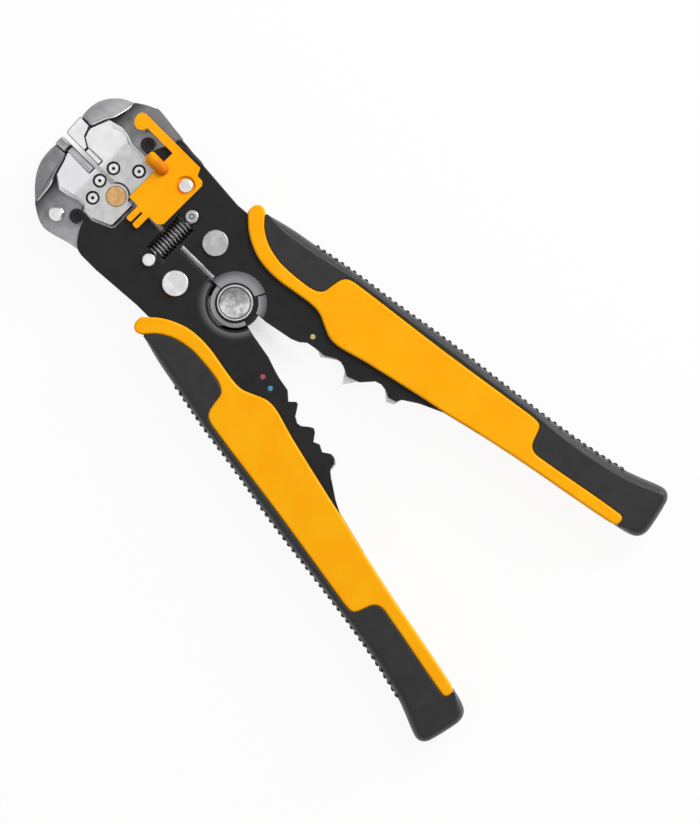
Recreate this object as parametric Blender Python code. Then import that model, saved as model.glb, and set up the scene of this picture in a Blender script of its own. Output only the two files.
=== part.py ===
"""Self-adjusting wire stripper: two sprung levers whose head grips a wire, cuts its sleeve and draws it off."""
import bpy
import bmesh
from math import cos, sin, pi, radians, hypot
from mathutils import Vector

# All sizes are in millimetres and degrees. The main rivet is the origin, +Y runs to the jaws, +Z up.
MM = 0.001
CLEAR = 0.3
CHAMFER = 0.2
CAST_EDGE = 0.3

# Length and spread of the handles from the main rivet, and what the outlines below are drawn at
HANDLE_LENGTH = 134.3
HANDLE_SPREAD = 54.3
DRAWN_LENGTH = 134.3
DRAWN_SPREAD = 54.3
HANDLE_START = -19.0

# Layers of the stack, from the resting plane up
GRIP_THICK = 15.0
PLATE = 2.2
PLATE_EDGE = 0.25
MIDDLE = 6.4
ARM = 2.7

MID_Z = GRIP_THICK / 2
BACK_TOP = MID_Z - MIDDLE / 2
BACK_LOW = BACK_TOP - PLATE
FRONT_LOW = MID_Z + MIDDLE / 2
FRONT_TOP = FRONT_LOW + PLATE
INNER_LOW = BACK_TOP + CLEAR
INNER_TOP = FRONT_LOW - CLEAR
ARM_TOP = INNER_LOW + ARM
HEAD_LOW = FRONT_TOP + CLEAR
FOOT_TOP = BACK_LOW - CLEAR

# Main pivot
MAIN_SHANK = 3.5
MAIN_HEAD = 5.4
MAIN_RIM = 0.8
HUB = 7.4
HUB_RELIEF = 0.9
JAW_HUB = 6.5

# Link rivets, spring posts and die rivets
LINK = (-8.4, 16.6)
LINK_SHANK = 1.6
LINK_HEAD = 3.85
LINK_HEAD_THICK = 1.0
LINK_PLAY = 1.3
POST = (-9.0, 27.0)
POST_SHANK = 1.1
POST_HEAD = 1.85
POST_HEAD_THICK = 0.7
POST_FOOT_THICK = 1.0
DIE_RIVET = 0.8
LEFT_DIE_RIVETS = [(-9.6, -21.2), (-10.5, -25.2)]
RIGHT_DIE_RIVETS = [(9.2, -23.3)]

# Return spring
WIRE = 0.8
COIL = 5.5
COIL_TURNS = 9
COIL_LENGTH = 12.2
COIL_POINTS = 9
COIL_Z = 10.8
HOOK_RADIUS = 1.75

# Lever plates, left-hand side
SEAM = 0.75
WINDOW = 6.9
WINDOW_LOW = 23.4
WINDOW_HIGH = 30.4
CUTTER = (-14.9, 51.3)
CUTTER_RADIUS = 2.25
CUTTER_NOTCH = 1.15
PLATE_FRONT = [(-9.2, 40.9), (-10.3, 41.6), (-12.9, 47.6)]
HOOK_END = (-16.3, 49.5)
PLATE_NOTCH = [(-14.6, 48.9), (-16.2, 48.4)]
PLATE_SHOULDER = [(-17.6, 47.7), (-20.2, 45.9), (-21.7, 44.1), (-22.2, 42.2)]
PLATE_SIDE = [(-22.2, 36.0), (-21.6, 28.0), (-21.0, 20.0)]
TANG = [(-21.0, 15.5), (-19.4, 10.0), (-17.3, 5.0), (-16.7, 0.0), (-16.9, -6.0), (-17.9, -12.0),
        (-20.5, -18.0), (-24.0, -35.0), (-28.5, -60.0), (-31.0, -77.0)]
TANG_END = [(-27.3, -78.5), (-25.5, -72.0)]
TANG_POCKET = [(-31.6, -78.0), (-26.8, -79.8), (-18.0, -70.0), (-4.0, -30.0), (-4.0, 15.0), (-12.0, 21.0)]
LEFT_DIE_EDGE = [(-23.0, -67.5), (-20.5, -62.5), (-16.5, -56.5), (-14.9, -54.6), (-12.8, -54.3),
                 (-11.8, -53.2), (-11.6, -51.6), (-13.1, -49.4), (-12.0, -47.2), (-12.8, -45.4),
                 (-10.5, -43.7), (-9.8, -42.6), (-10.5, -41.3), (-12.0, -39.5), (-12.3, -38.0),
                 (-11.2, -36.2), (-8.2, -34.2), (-7.9, -33.4), (-9.6, -31.6), (-7.3, -29.0),
                 (-6.5, -24.5), (-5.6, -21.5), (-4.4, -18.0), (-3.0, -10.0)]
RIGHT_DIE_EDGE = [(20.5, -66.0), (17.5, -59.5), (14.7, -55.2), (13.0, -54.3), (12.2, -51.8),
                  (13.3, -49.6), (13.6, -47.6), (13.0, -45.7), (9.4, -42.5), (8.0, -38.6),
                  (9.3, -36.2), (9.8, -34.3), (9.4, -32.6), (7.6, -29.6), (7.3, -26.0),
                  (6.8, -23.2), (5.2, -21.3), (4.2, -19.0), (2.4, -9.8)]

# Crimping dies between the plates
LEFT_INSERT = [(-5.6, -17.5), (-7.2, -24.5), (-7.9, -29.2), (-10.2, -31.6), (-8.4, -33.4), (-12.7, -37.8),
               (-10.2, -42.6), (-13.3, -45.6), (-12.4, -47.2), (-13.6, -49.4), (-11.3, -52.6),
               (-12.6, -54.9), (-15.2, -55.0), (-19.6, -60.4), (-21.5, -58.0), (-17.0, -45.0), (-14.2, -30.0),
               (-12.8, -17.0)]
RIGHT_INSERT = [(5.4, -18.5), (7.6, -23.5), (7.9, -26.5), (6.5, -28.9), (10.2, -34.3), (8.6, -37.2),
                (5.2, -39.3), (8.9, -41.8), (13.8, -46.2), (13.9, -48.6), (10.9, -52.3), (12.0, -54.4),
                (15.0, -55.0), (18.2, -59.8), (20.0, -57.5), (16.0, -44.5), (13.2, -29.5), (12.4, -18.0)]

# Grips, left-hand side; the right-hand handle leans in by a small angle
HANDLE_LEAN = -1.76
GRIP_TOP = [(-21.5, 16.2), (-22.4, 16.9), (-24.6, 16.9), (-26.1, 16.1), (-26.7, 14.9), (-26.4, 13.7)]
BAND_OUTER = [(-25.5, 12.6), (-22.5, 9.9), (-19.9, 5.7), (-18.8, 1.1), (-18.6, -2.8), (-19.4, -10.5),
              (-20.3, -13.8), (-21.9, -15.8), (-25.2, -16.4), (-28.0, -17.0), (-29.6, -18.4), (-30.5, -21.4)]
PANEL_OUTER = [(-35.8, -52.9), (-40.7, -82.9), (-41.0, -86.6), (-40.4, -88.8), (-38.5, -90.0),
               (-35.3, -91.3), (-33.9, -92.9), (-33.7, -95.3), (-39.3, -124.8), (-38.8, -125.9),
               (-36.5, -125.9), (-35.7, -125.0)]
GRIP_INNER = [(-30.1, -95.7), (-28.0, -85.7), (-25.1, -75.7), (-22.3, -67.2), (-14.6, -34.3), (-13.6, -30.5),
              (-13.6, -27.0), (-14.9, -23.5), (-16.5, -19.5), (-16.6, -16.0), (-15.7, -10.5), (-14.6, -4.3),
              (-14.4, 1.1), (-15.2, 6.1), (-17.9, 11.9)]
RUBBER_OUTER = [(-26.9, 12.6), (-28.4, 4.5), (-29.9, -5.0), (-32.4, -19.0), (-34.9, -33.0), (-38.5, -53.0),
                (-41.5, -74.3), (-43.6, -88.5), (-45.8, -102.9), (-49.3, -115.7), (-51.0, -120.4),
                (-54.0, -127.4), (-54.3, -129.6), (-52.9, -131.3), (-41.0, -134.3), (-38.6, -133.6),
                (-37.3, -131.4), (-36.4, -126.6)]
RUBBER_FLANK = 12
END_ROUND = 0.8
RUBBER_LIP = 0.8
GRIP_ROUND = 5.0
ROUND_STEPS = 3
PANEL_ROUND = 0.8
SLEEVE_WALL = FOOT_TOP

# Gripping jaws, left-hand side
MOUTH_LEFT = -1.1
MOUTH_RIGHT = 0.3
JAW_OUTER = [(-4.4, 71.2), (-7.5, 71.3), (-11.0, 70.8), (-14.5, 69.2), (-18.0, 66.4), (-20.5, 63.7),
             (-22.6, 60.7), (-24.0, 57.8), (-24.3, 55.3), (-23.6, 52.0), (-22.5, 48.3), (-21.7, 44.0)]
LEFT_JAW_INNER = [(-13.7, 44.0), (-13.2, 51.2), (-11.5, 52.6), (-11.5, 55.0), (-12.6, 58.0), (-13.2, 61.2),
                  (-10.4, 64.9), (-6.0, 66.1), (-3.8, 67.1)]
RIGHT_JAW_INNER = [(-13.7, 44.0), (-13.2, 48.0), (-11.9, 49.5), (-11.9, 55.0), (-12.9, 58.0), (-13.2, 61.2),
                   (-12.0, 65.3), (-7.2, 67.3), (-4.4, 67.4)]
LEFT_CREASE = [(-18.5, 63.1), (-14.0, 63.4), (-10.4, 64.9), (-6.0, 66.1), (-4.4, 66.9)]
RIGHT_CREASE = [(-17.5, 63.3), (-13.6, 64.2), (-12.0, 65.3), (-7.2, 67.3), (-4.4, 67.4)]
JAW_ARM = [(-15.0, 10.0), (-15.0, 40.0), (-14.6, 46.5), (-20.6, 46.5), (-20.2, 38.0), (-19.2, 20.0),
           (-17.5, 10.0), (-15.2, 5.0), (-12.0, 0.0)]
ARM_ROOT = [(-9.0, 0.0), (-9.0, 8.6)]
RISER = [(-15.0, 10.0), (-15.0, 14.0), (-18.0, 14.0), (-17.2, 10.0), (-15.2, 5.0), (-12.0, 0.0)]
HUB_NECK = [(-10.0, 0.6), (-10.0, 8.4), (-1.0, 6.42)]
WEB_TOP = 9.8
CAP_TOP = FRONT_TOP
PAD_SEAT = 7.0
PAD_TOP = 12.4
PAD_SEAT_START = 67.0
PAD_SEAT_END = 72.5
LEFT_PAD = [(-1.1, 67.6), (-1.1, 70.6), (-1.6, 71.1), (-4.1, 71.1), (-4.1, 67.6)]
RIGHT_PAD = [(0.3, 63.5), (1.6, 63.5), (3.4, 66.4), (6.6, 67.6), (6.6, 71.4), (0.9, 71.1), (0.3, 70.5)]
JAW_RIVET = (-18.6, 56.3)
JAW_RIVET_HEAD = 2.3
JAW_RIVET_SHANK = 1.2
JAW_RIVET_THICK = 1.0

# Blade carriers and the pin they turn on
PIN = (-2.6, 47.2)
PIN_HEAD = 3.1
PIN_SHANK = 2.0
BOSS = 3.7
TONGUE = 3.5
CARRIER_TOP = 12.6
LAP_Z = 8.3
LEFT_CARRIER = [(-1.1, 42.1), (-9.2, 42.1), (-9.8, 42.5), (-12.3, 48.2), (-12.1, 50.5), (-10.7, 52.2),
                (-10.8, 55.0), (-11.5, 58.0), (-12.2, 61.2), (-10.0, 64.2), (-6.0, 65.4), (-3.6, 66.4),
                (-3.6, 57.4), (-1.1, 57.4)]
RIGHT_CARRIER = [(10.3, 44.5), (10.7, 49.0), (10.9, 55.0), (11.8, 57.5), (12.1, 59.5), (10.9, 62.0),
                 (10.9, 64.8), (6.3, 66.7), (3.7, 65.8), (2.2, 63.2), (2.2, 57.2), (0.3, 57.2)]
LEFT_BLADE = [(-1.1, 57.7), (-1.1, 66.3), (-1.5, 66.9), (-3.3, 66.9), (-3.3, 57.7)]
RIGHT_BLADE = [(0.3, 57.5), (1.9, 57.5), (1.9, 63.1), (0.3, 63.1)]
BLADE_TOP = 12.2
LEFT_SCREWS = [(-7.8, 51.8), (-2.75, 53.9)]
RIGHT_SCREWS = [(2.7, 53.6), (7.4, 47.6)]
SCREW_HEAD = 1.6
SCREW_SHANK = 0.8
SCREW_SUNK = 2.1
SCREW_DEPTH = 1.3
SCREW_SOCKET = 0.55
LEFT_TAIL = [(-0.4, 43.0), (-6.2, 43.0), (-6.2, 21.0), (-12.4, 21.0), (-12.4, 18.5), (-6.2, 18.5),
             (-6.2, 14.7), (-12.4, 14.7), (-12.4, 12.4), (-0.4, 12.4)]
TAIL_RING = 3.8
RIGHT_TAIL = [(9.8, 45.5), (0.9, 45.5), (0.9, 30.0)]

# Wire stop, held on the right lever by a screw in a slot
STOP_SCREW = (14.2, 34.7)
STOP_TRAVEL = 6.0
STOP_THICK = 1.8
STOP_LOW = HEAD_LOW
STOP_TOP = STOP_LOW + STOP_THICK
STOP_HEAD = 2.0
STOP_SUNK = 2.9
STOP_SUNK_DEPTH = 1.0
STOP_SHANK = 1.2
STOP_NUT = 2.4
STOP_NUT_THICK = 2.1
HUMP_RISE = 2.2
STOP_FINGERS = [(0.0, 40.5), (-4.6, 40.5), (-5.0, 40.1), (-5.0, 39.0), (-4.6, 38.6), (-0.6, 38.6),
                (-0.6, 37.9), (-4.7, 37.9), (-5.1, 37.5), (-5.1, 36.3), (-4.7, 35.9), (0.0, 35.9)]
STOP_BLOCK = [(0.0, 32.7), (1.5, 31.3), (17.5, 31.3), (18.6, 32.3), (18.6, 34.3), (19.8, 34.9), (20.9, 35.4)]
STOP_ARM = [(20.9, 58.0), (20.2, 59.2), (19.0, 59.6), (17.4, 59.2), (16.2, 58.1), (15.9, 56.6), (16.6, 55.4),
            (18.2, 54.7), (18.2, 44.2), (14.6, 44.2)]
STOP_THUMB = [(14.6, 48.3), (14.0, 49.0), (11.3, 49.0), (10.7, 48.3), (10.7, 44.2), (0.0, 44.2)]
HUMP = [(10.7, 41.4), (14.6, 41.4), (14.6, 48.3), (14.0, 49.0), (11.3, 49.0), (10.7, 48.3)]

# Joint axes, one empty for each moving body
BODIES = {"left_lever": (0.0, 0.0), "right_lever": (0.0, 0.0), "left_jaw": (0.0, 0.0), "right_jaw": (0.0, 0.0),
          "left_carrier": PIN, "right_carrier": PIN, "wire_stop_body": STOP_SCREW}


def arc(centre, radius, start, end, steps):
    """Points along a round stretch, angles in degrees, both ends included."""
    turns = [radians(start + (end - start) * i / steps) for i in range(steps + 1)]
    return [(centre[0] + radius * cos(a), centre[1] + radius * sin(a)) for a in turns]


def circle(centre, radius, steps=16):
    return arc(centre, radius, 0, 360, steps)[:-1]


def stadium(start, end, radius):
    """A slot running along +Y from start to end."""
    return arc(end, radius, 0, 180, 8) + arc(start, radius, 180, 360, 8)


def mirrored(points):
    return [(-x, y) for x, y in points]


def turned(points, degrees):
    c, s = cos(radians(degrees)), sin(radians(degrees))
    return [(x * c - y * s, x * s + y * c) for x, y in points]


def reach(points):
    """Points on the handles, brought from the drawn length and spread to the named ones."""
    placed = []
    for x, y in points:
        share = max(HANDLE_START - y, 0) / (HANDLE_START + DRAWN_LENGTH)
        sideways = share * (HANDLE_SPREAD - DRAWN_SPREAD)
        placed.append((x - sideways if x < 0 else x + sideways, y - share * (HANDLE_LENGTH - DRAWN_LENGTH)))
    return placed


def smooth(points, steps=3):
    """A curve through all the points, both ends included."""
    ends = [points[0]] + list(points) + [points[-1]]
    curve = []
    for a, b, c, d in zip(ends, ends[1:], ends[2:], ends[3:]):
        for i in range(steps):
            t = i / steps
            curve.append(tuple(
                b[k] + 0.5 * t * (c[k] - a[k] + t * (2 * a[k] - 5 * b[k] + 4 * c[k] - d[k]
                                  + t * (3 * (b[k] - c[k]) + d[k] - a[k]))) for k in (0, 1)))
    return curve + [points[-1]]


def offset(points, distance):
    """An open line moved sideways, to its left for a positive distance."""
    moved = []
    for i, point in enumerate(points):
        before = points[max(i - 1, 0)]
        after = points[min(i + 1, len(points) - 1)]
        dx, dy = after[0] - before[0], after[1] - before[1]
        length = hypot(dx, dy)
        moved.append((point[0] - dy / length * distance, point[1] + dx / length * distance))
    return moved


def add_slab(bm, loops, low, high):
    """A flat piece from its outline and its holes, between two heights."""
    edges = []
    for loop in loops:
        corners = [bm.verts.new((x * MM, y * MM, low * MM)) for x, y in loop]
        edges += [bm.edges.new(pair) for pair in zip(corners, corners[1:] + corners[:1])]
    filled = bmesh.ops.triangle_fill(bm, use_beauty=True, use_dissolve=False, edges=edges)["geom"]
    floor = [item for item in filled if isinstance(item, bmesh.types.BMFace)]
    raised = bmesh.ops.extrude_face_region(bm, geom=floor, use_keep_orig=True)["geom"]
    top = [item for item in raised if isinstance(item, bmesh.types.BMVert)]
    bmesh.ops.translate(bm, verts=top, vec=(0, 0, (high - low) * MM))
    bmesh.ops.recalc_face_normals(bm, faces=bm.faces[:])


def slab(loops, low, high):
    bm = bmesh.new()
    add_slab(bm, loops, low, high)
    return bm


def turning(centre, profile, steps=24):
    """A round piece from (radius, height) pairs, its first and last point on the axis."""
    bm = bmesh.new()
    rings = []
    for radius, height in profile:
        if radius == 0:
            rings.append([bm.verts.new((centre[0] * MM, centre[1] * MM, height * MM))])
        else:
            edge = circle(centre, radius, steps)
            rings.append([bm.verts.new((x * MM, y * MM, height * MM)) for x, y in edge])
    for lower, upper in zip(rings, rings[1:]):
        for i in range(steps):
            j = (i + 1) % steps
            below = [lower[i % len(lower)], lower[j % len(lower)]]
            above = [upper[j % len(upper)], upper[i % len(upper)]]
            bm.faces.new(list(dict.fromkeys(below + above)))
    bmesh.ops.recalc_face_normals(bm, faces=bm.faces[:])
    return bm


def soften(bm, width, segments=1, where=lambda edge: True):
    """Round off the sharp level rims that the test picks."""
    rims = [e for e in bm.edges if len(e.link_faces) == 2 and e.calc_face_angle() > radians(40)
            and abs(e.verts[0].co.z - e.verts[1].co.z) < 1e-6 and where(e)]
    bmesh.ops.bevel(bm, geom=rims, offset=width * MM, segments=segments, profile=0.5, affect="EDGES",
                    clamp_overlap=True)
    return bm


def at_height(height):
    return lambda edge: abs(edge.verts[0].co.z - height * MM) < 1e-6


def loft(outlines):
    """A solid through like outlines, each given with its height, from the lowest to the highest."""
    bm = bmesh.new()
    rings = [[bm.verts.new((x * MM, y * MM, z * MM)) for x, y in points] for points, z in outlines]
    for lower, upper in zip(rings, rings[1:]):
        for i, corner in enumerate(lower):
            bm.faces.new((corner, lower[i - 1], upper[i - 1], upper[i]))
    for ring in (rings[0], rings[-1]):
        rim = [bm.edges.get((a, b)) for a, b in zip(ring, ring[1:] + ring[:1])]
        bmesh.ops.triangle_fill(bm, use_beauty=True, use_dissolve=False, edges=rim)
    bmesh.ops.recalc_face_normals(bm, faces=bm.faces[:])
    return bm


def new_object(name, bm, shift):
    for vert in bm.verts:
        vert.co -= shift
    mesh = bpy.data.meshes.new(name)
    bm.to_mesh(mesh)
    bm.free()
    obj = bpy.data.objects.new(name, mesh)
    bpy.context.scene.collection.objects.link(obj)
    return obj


def piece(name, body, finish, bm, smooth_angle=35):
    """One sub-part, hung on its body's empty, which stands on the joint axis."""
    empty = EMPTIES[body]
    obj = new_object(name, bm, empty.location)
    obj.parent = empty
    obj.data.shade_smooth()
    obj.data.set_sharp_from_angle(angle=radians(smooth_angle))
    obj.data.materials.append(FINISHES[finish])
    return obj


def combine(obj, label, bm, operation):
    """Join a second solid to a piece, or cut it away."""
    tool = new_object(obj.name + "_" + label, bm, Vector())
    tool.hide_render = True
    tool.display_type = "WIRE"
    step = obj.modifiers.new(label, "BOOLEAN")
    step.operation = operation
    step.object = tool


def round_edges(obj, width):
    step = obj.modifiers.new("edges", "BEVEL")
    step.width = width * MM
    step.segments = 1
    step.limit_method = "ANGLE"
    step.angle_limit = radians(40)


def finish(name, colour, roughness, metallic):
    material = bpy.data.materials.new(name)
    material.use_nodes = True
    shader = material.node_tree.nodes["Principled BSDF"]
    shader.inputs["Base Color"].default_value = (*[(c / 255) ** 2.2 for c in bytes.fromhex(colour)], 1)
    shader.inputs["Roughness"].default_value = roughness
    shader.inputs["Metallic"].default_value = metallic
    return material


def plate_outline(hub, die_edge, side):
    """A lever plate's edge, left-hand or mirrored; the plate with the hub goes round the main rivet."""
    if hub:
        pivot = arc((0, 0), HUB, -108, 95, 24)
    else:
        pivot = arc((0, 0), HUB + HUB_RELIEF, 253, 95, 20)
    head = [(-SEAM, WINDOW_LOW), (-WINDOW, WINDOW_LOW), (-WINDOW, WINDOW_HIGH), (-SEAM, WINDOW_HIGH),
            (-SEAM, PLATE_FRONT[0][1])] + PLATE_FRONT
    hook = arc(CUTTER, CUTTER_RADIUS, 0, 205, 12) + [HOOK_END]
    notch = arc(CUTTER, CUTTER_NOTCH, 215, -45, 12) + PLATE_NOTCH
    outer = smooth(PLATE_SHOULDER) + PLATE_SIDE
    tang = reach(TANG + TANG_END)
    if side > 0:
        tang = mirrored(turned(mirrored(tang), HANDLE_LEAN))
        return mirrored(pivot + head + hook + notch + outer + tang) + reach(die_edge)
    return pivot + head + hook + notch + outer + tang + reach(die_edge)


def make_plates(side, body, die_edge, die_rivets):
    """Front and back plate of one lever; the right lever's hub is in front, the left one's behind."""
    name = "right" if side > 0 else "left"
    link, post = [mirrored([p])[0] if side > 0 else p for p in (LINK, POST)]
    shared = [circle(link, LINK_SHANK + CLEAR)] + [circle(p, DIE_RIVET + CLEAR, 10) for p in reach(die_rivets)]
    bore = [circle((0, 0), MAIN_SHANK + CLEAR, 28)]
    front_holes = shared + [circle(post, POST_SHANK + CLEAR, 12)]
    if side > 0:
        slot_end = (STOP_SCREW[0], STOP_SCREW[1] + STOP_TRAVEL)
        front_holes = front_holes + bore + [stadium(STOP_SCREW, slot_end, STOP_SHANK + CLEAR)]
    front = slab([plate_outline(side > 0, die_edge, side)] + front_holes, FRONT_LOW, FRONT_TOP)
    piece(name + "_front_plate", body, "blackened steel", soften(front, PLATE_EDGE, 1, at_height(FRONT_TOP)))
    back_holes = shared if side > 0 else shared + bore
    back = slab([plate_outline(side < 0, die_edge, side)] + back_holes, BACK_LOW, BACK_TOP)
    piece(name + "_back_plate", body, "blackened steel", soften(back, PLATE_EDGE, 1, at_height(BACK_LOW)))


def make_dies(name, body, outline, rivets):
    holes = [circle(p, DIE_RIVET + CLEAR, 10) for p in reach(rivets)]
    piece(name + "_crimp_die", body, "ground steel", slab([reach(outline)] + holes, INNER_LOW, INNER_TOP))
    profile = [(0, BACK_LOW), (DIE_RIVET, BACK_LOW), (DIE_RIVET, FRONT_TOP), (0, FRONT_TOP)]
    for number, place in enumerate(reach(rivets), 1):
        piece("%s_die_rivet_%d" % (name, number), body, "painted rivet", turning(place, profile, 10))


def make_grip(side, body):
    """Yellow core with a pocket for the tang, and the rubber moulded round its outer side."""
    name = "right" if side > 0 else "left"
    place = (lambda pts: turned(mirrored(reach(pts)), HANDLE_LEAN)) if side > 0 else reach
    band = smooth(BAND_OUTER, 2)
    core_edge = GRIP_TOP + band + PANEL_OUTER
    core = slab([place(core_edge + GRIP_INNER)], 0, GRIP_THICK)
    core_obj = piece(name + "_grip_core", body, "yellow plastic", soften(core, PANEL_ROUND, 2))
    wall = offset([PLATE_SIDE[-1]] + TANG, -CLEAR)
    pocket = slab([place(wall + TANG_POCKET)], SLEEVE_WALL, GRIP_THICK - SLEEVE_WALL)
    combine(core_obj, "pocket", pocket, "DIFFERENCE")
    inner = offset(GRIP_TOP[-1:] + band + PANEL_OUTER, -CLEAR)[::-1]
    layers = []
    for step in range(2 * ROUND_STEPS + 2):
        upper = step > ROUND_STEPS
        angle = radians(90 * (2 * ROUND_STEPS + 1 - step if upper else step) / ROUND_STEPS)
        rise = GRIP_ROUND * (1 - cos(angle))
        inset = GRIP_ROUND * (1 - sin(angle))
        layers.append((place(rubber_side(inset, inner) + inner), GRIP_THICK - rise if upper else rise))
    piece(name + "_grip_rubber", body, "soft rubber", loft(layers))


def spare(point, line):
    """How far a point lies from a line of straight stretches."""
    least = hypot(point[0] - line[0][0], point[1] - line[0][1])
    for a, b in zip(line, line[1:]):
        run = Vector((b[0] - a[0], b[1] - a[1]))
        reach = Vector((point[0] - a[0], point[1] - a[1]))
        share = min(max(reach.dot(run) / run.length_squared, 0), 1)
        least = min(least, (reach - run * share).length)
    return least


def rubber_side(inset, inner):
    """The rubber's outer edge drawn in by its rounding, which leaves a lip beside the core and at the ends."""
    side = []
    for i, (point, drawn) in enumerate(zip(RUBBER_OUTER, offset(RUBBER_OUTER, 1))):
        room = spare(point, inner) - RUBBER_LIP
        if i in (0, len(RUBBER_OUTER) - 1) or i >= RUBBER_FLANK:
            room = END_ROUND
        reach = min(inset, room)
        side.append(tuple(p + (d - p) * reach for p, d in zip(point, drawn)))
    return side


def make_link_and_post(side, body):
    name = "right" if side > 0 else "left"
    link, post = [mirrored([p])[0] if side > 0 else p for p in (LINK, POST)]
    top = HEAD_LOW + LINK_HEAD_THICK
    low = FOOT_TOP - LINK_HEAD_THICK
    piece(name + "_link_rivet", body, "bright steel", turning(link, [
        (0, low), (LINK_HEAD - CHAMFER, low), (LINK_HEAD, low + CHAMFER), (LINK_HEAD, FOOT_TOP),
        (LINK_SHANK, FOOT_TOP), (LINK_SHANK, HEAD_LOW), (LINK_HEAD, HEAD_LOW), (LINK_HEAD, top - CHAMFER),
        (LINK_HEAD - CHAMFER, top), (0, top)]))
    head = FRONT_TOP + WIRE + 2 * CLEAR
    crown = head + POST_HEAD_THICK
    foot = INNER_TOP - POST_FOOT_THICK
    piece(name + "_spring_post", body, "bright steel", turning(post, [
        (0, foot), (POST_HEAD, foot), (POST_HEAD, INNER_TOP), (POST_SHANK, INNER_TOP), (POST_SHANK, head),
        (POST_HEAD, head), (POST_HEAD, crown - CHAMFER), (POST_HEAD - CHAMFER, crown), (0, crown)], 16))


def spring_path():
    """Coil along X with a hook round each post, as points in millimetres."""
    radius = (COIL - WIRE) / 2
    hook_z = FRONT_TOP + CLEAR + WIRE / 2
    count = COIL_TURNS * COIL_POINTS
    coil = []
    for i in range(count + 1):
        angle = 2 * pi * i / COIL_POINTS
        x = -COIL_LENGTH / 2 + COIL_LENGTH * i / count
        coil.append((x, POST[1] + radius * sin(angle), COIL_Z + radius * cos(angle)))
    left = [(x, y, hook_z) for x, y in arc(POST, HOOK_RADIUS, 60, 300, 8)]
    right = [(x, y, hook_z) for x, y in arc((-POST[0], POST[1]), HOOK_RADIUS, -120, 120, 8)]
    rise = -COIL_LENGTH / 2 - WIRE / 2
    return left + [(rise, POST[1] - 0.9, hook_z)] + coil + [(-rise, POST[1] - 0.9, hook_z)] + right


def make_spring():
    points = spring_path()
    least = min((Vector(a) - Vector(b)).length for i, a in enumerate(points) for j, b in enumerate(points)
                if j - i > COIL_POINTS // 2) - WIRE
    print("return spring, least gap to itself: %.2f mm" % least)
    curve = bpy.data.curves.new("return_spring", "CURVE")
    curve.dimensions = "3D"
    curve.bevel_depth = WIRE / 2 * MM
    curve.bevel_resolution = 1
    curve.use_fill_caps = True
    empty = EMPTIES["left_lever"]
    line = curve.splines.new("POLY")
    line.points.add(len(points) - 1)
    for target, place in zip(line.points, points):
        target.co = (*(Vector(place) * MM - empty.location), 1)
    obj = bpy.data.objects.new("return_spring", curve)
    bpy.context.scene.collection.objects.link(obj)
    obj.parent = empty
    curve.materials.append(FINISHES["spring steel"])


def make_main_rivet():
    dish = GRIP_THICK - CAST_EDGE
    piece("main_rivet", "left_lever", "bright steel", turning((0, 0), [
        (0, 0), (MAIN_HEAD - CAST_EDGE, 0), (MAIN_HEAD, CAST_EDGE), (MAIN_HEAD, FOOT_TOP),
        (MAIN_SHANK, FOOT_TOP), (MAIN_SHANK, HEAD_LOW), (MAIN_HEAD, HEAD_LOW), (MAIN_HEAD, dish),
        (MAIN_HEAD - CHAMFER, GRIP_THICK), (MAIN_HEAD - MAIN_RIM, GRIP_THICK),
        (MAIN_HEAD - MAIN_RIM - CHAMFER, dish), (0, dish)], 28))


def make_jaw(side):
    """Cast jaw: low web, raised cap, thin arm back to the main rivet, and its pad and rivet."""
    name = "right" if side > 0 else "left"
    body = name + "_jaw"
    place = mirrored if side > 0 else (lambda pts: pts)
    inner, crease, mouth = LEFT_JAW_INNER, LEFT_CREASE, MOUTH_LEFT
    if side > 0:
        inner, crease, mouth = RIGHT_JAW_INNER, RIGHT_CREASE, -MOUTH_RIGHT
    tip = [(mouth, inner[-1][1]), (mouth, JAW_OUTER[0][1] - 0.4)]
    outer = smooth(JAW_OUTER, 2)
    rivet = place([JAW_RIVET])[0]
    hole = circle(rivet, JAW_RIVET_SHANK + CLEAR, 12)
    face = slab([place(inner + tip + outer), hole], INNER_LOW, WEB_TOP)
    obj = piece(body, body, "cast alloy", face)
    brow = [p for p in outer if p[1] > crease[0][1] + 0.5]
    combine(obj, "cap", slab([place(crease + brow)], ARM_TOP, CAP_TOP), "UNION")
    hub_low, hub_high = (ARM_TOP + CLEAR + 0.05, INNER_TOP) if side > 0 else (INNER_LOW, ARM_TOP)
    combine(obj, "arm", slab([place(JAW_ARM + ARM_ROOT)], INNER_LOW, ARM_TOP), "UNION")
    if side > 0:
        combine(obj, "riser", slab([place(RISER + ARM_ROOT)], INNER_LOW, INNER_TOP), "UNION")
    neck = HUB_NECK + arc((0, 0), JAW_HUB, 90, -135, 20)
    bore = circle((0, 0), MAIN_SHANK + CLEAR, 28)
    combine(obj, "hub", slab([place(neck), bore], hub_low, hub_high), "UNION")
    pad = RIGHT_PAD if side > 0 else LEFT_PAD
    near, far = min(x for x, y in pad) - CLEAR, max(x for x, y in pad) + CLEAR
    seat = [(near, PAD_SEAT_START), (far, PAD_SEAT_START), (far, PAD_SEAT_END), (near, PAD_SEAT_END)]
    combine(obj, "seat", slab([seat], PAD_SEAT, CAP_TOP + 1), "DIFFERENCE")
    round_edges(obj, CAST_EDGE)
    pad_low = PAD_SEAT + CLEAR
    piece(name + "_jaw_pad", body, "ground steel", soften(slab([pad], pad_low, PAD_TOP), CHAMFER))
    head = WEB_TOP + CLEAR
    piece(name + "_jaw_rivet", body, "bright steel", turning(rivet, [
        (0, INNER_LOW), (JAW_RIVET_SHANK, INNER_LOW), (JAW_RIVET_SHANK, head), (JAW_RIVET_HEAD, head),
        (JAW_RIVET_HEAD, head + 0.4), (JAW_RIVET_HEAD - 0.7, head + JAW_RIVET_THICK),
        (0, head + JAW_RIVET_THICK)], 18))


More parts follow.
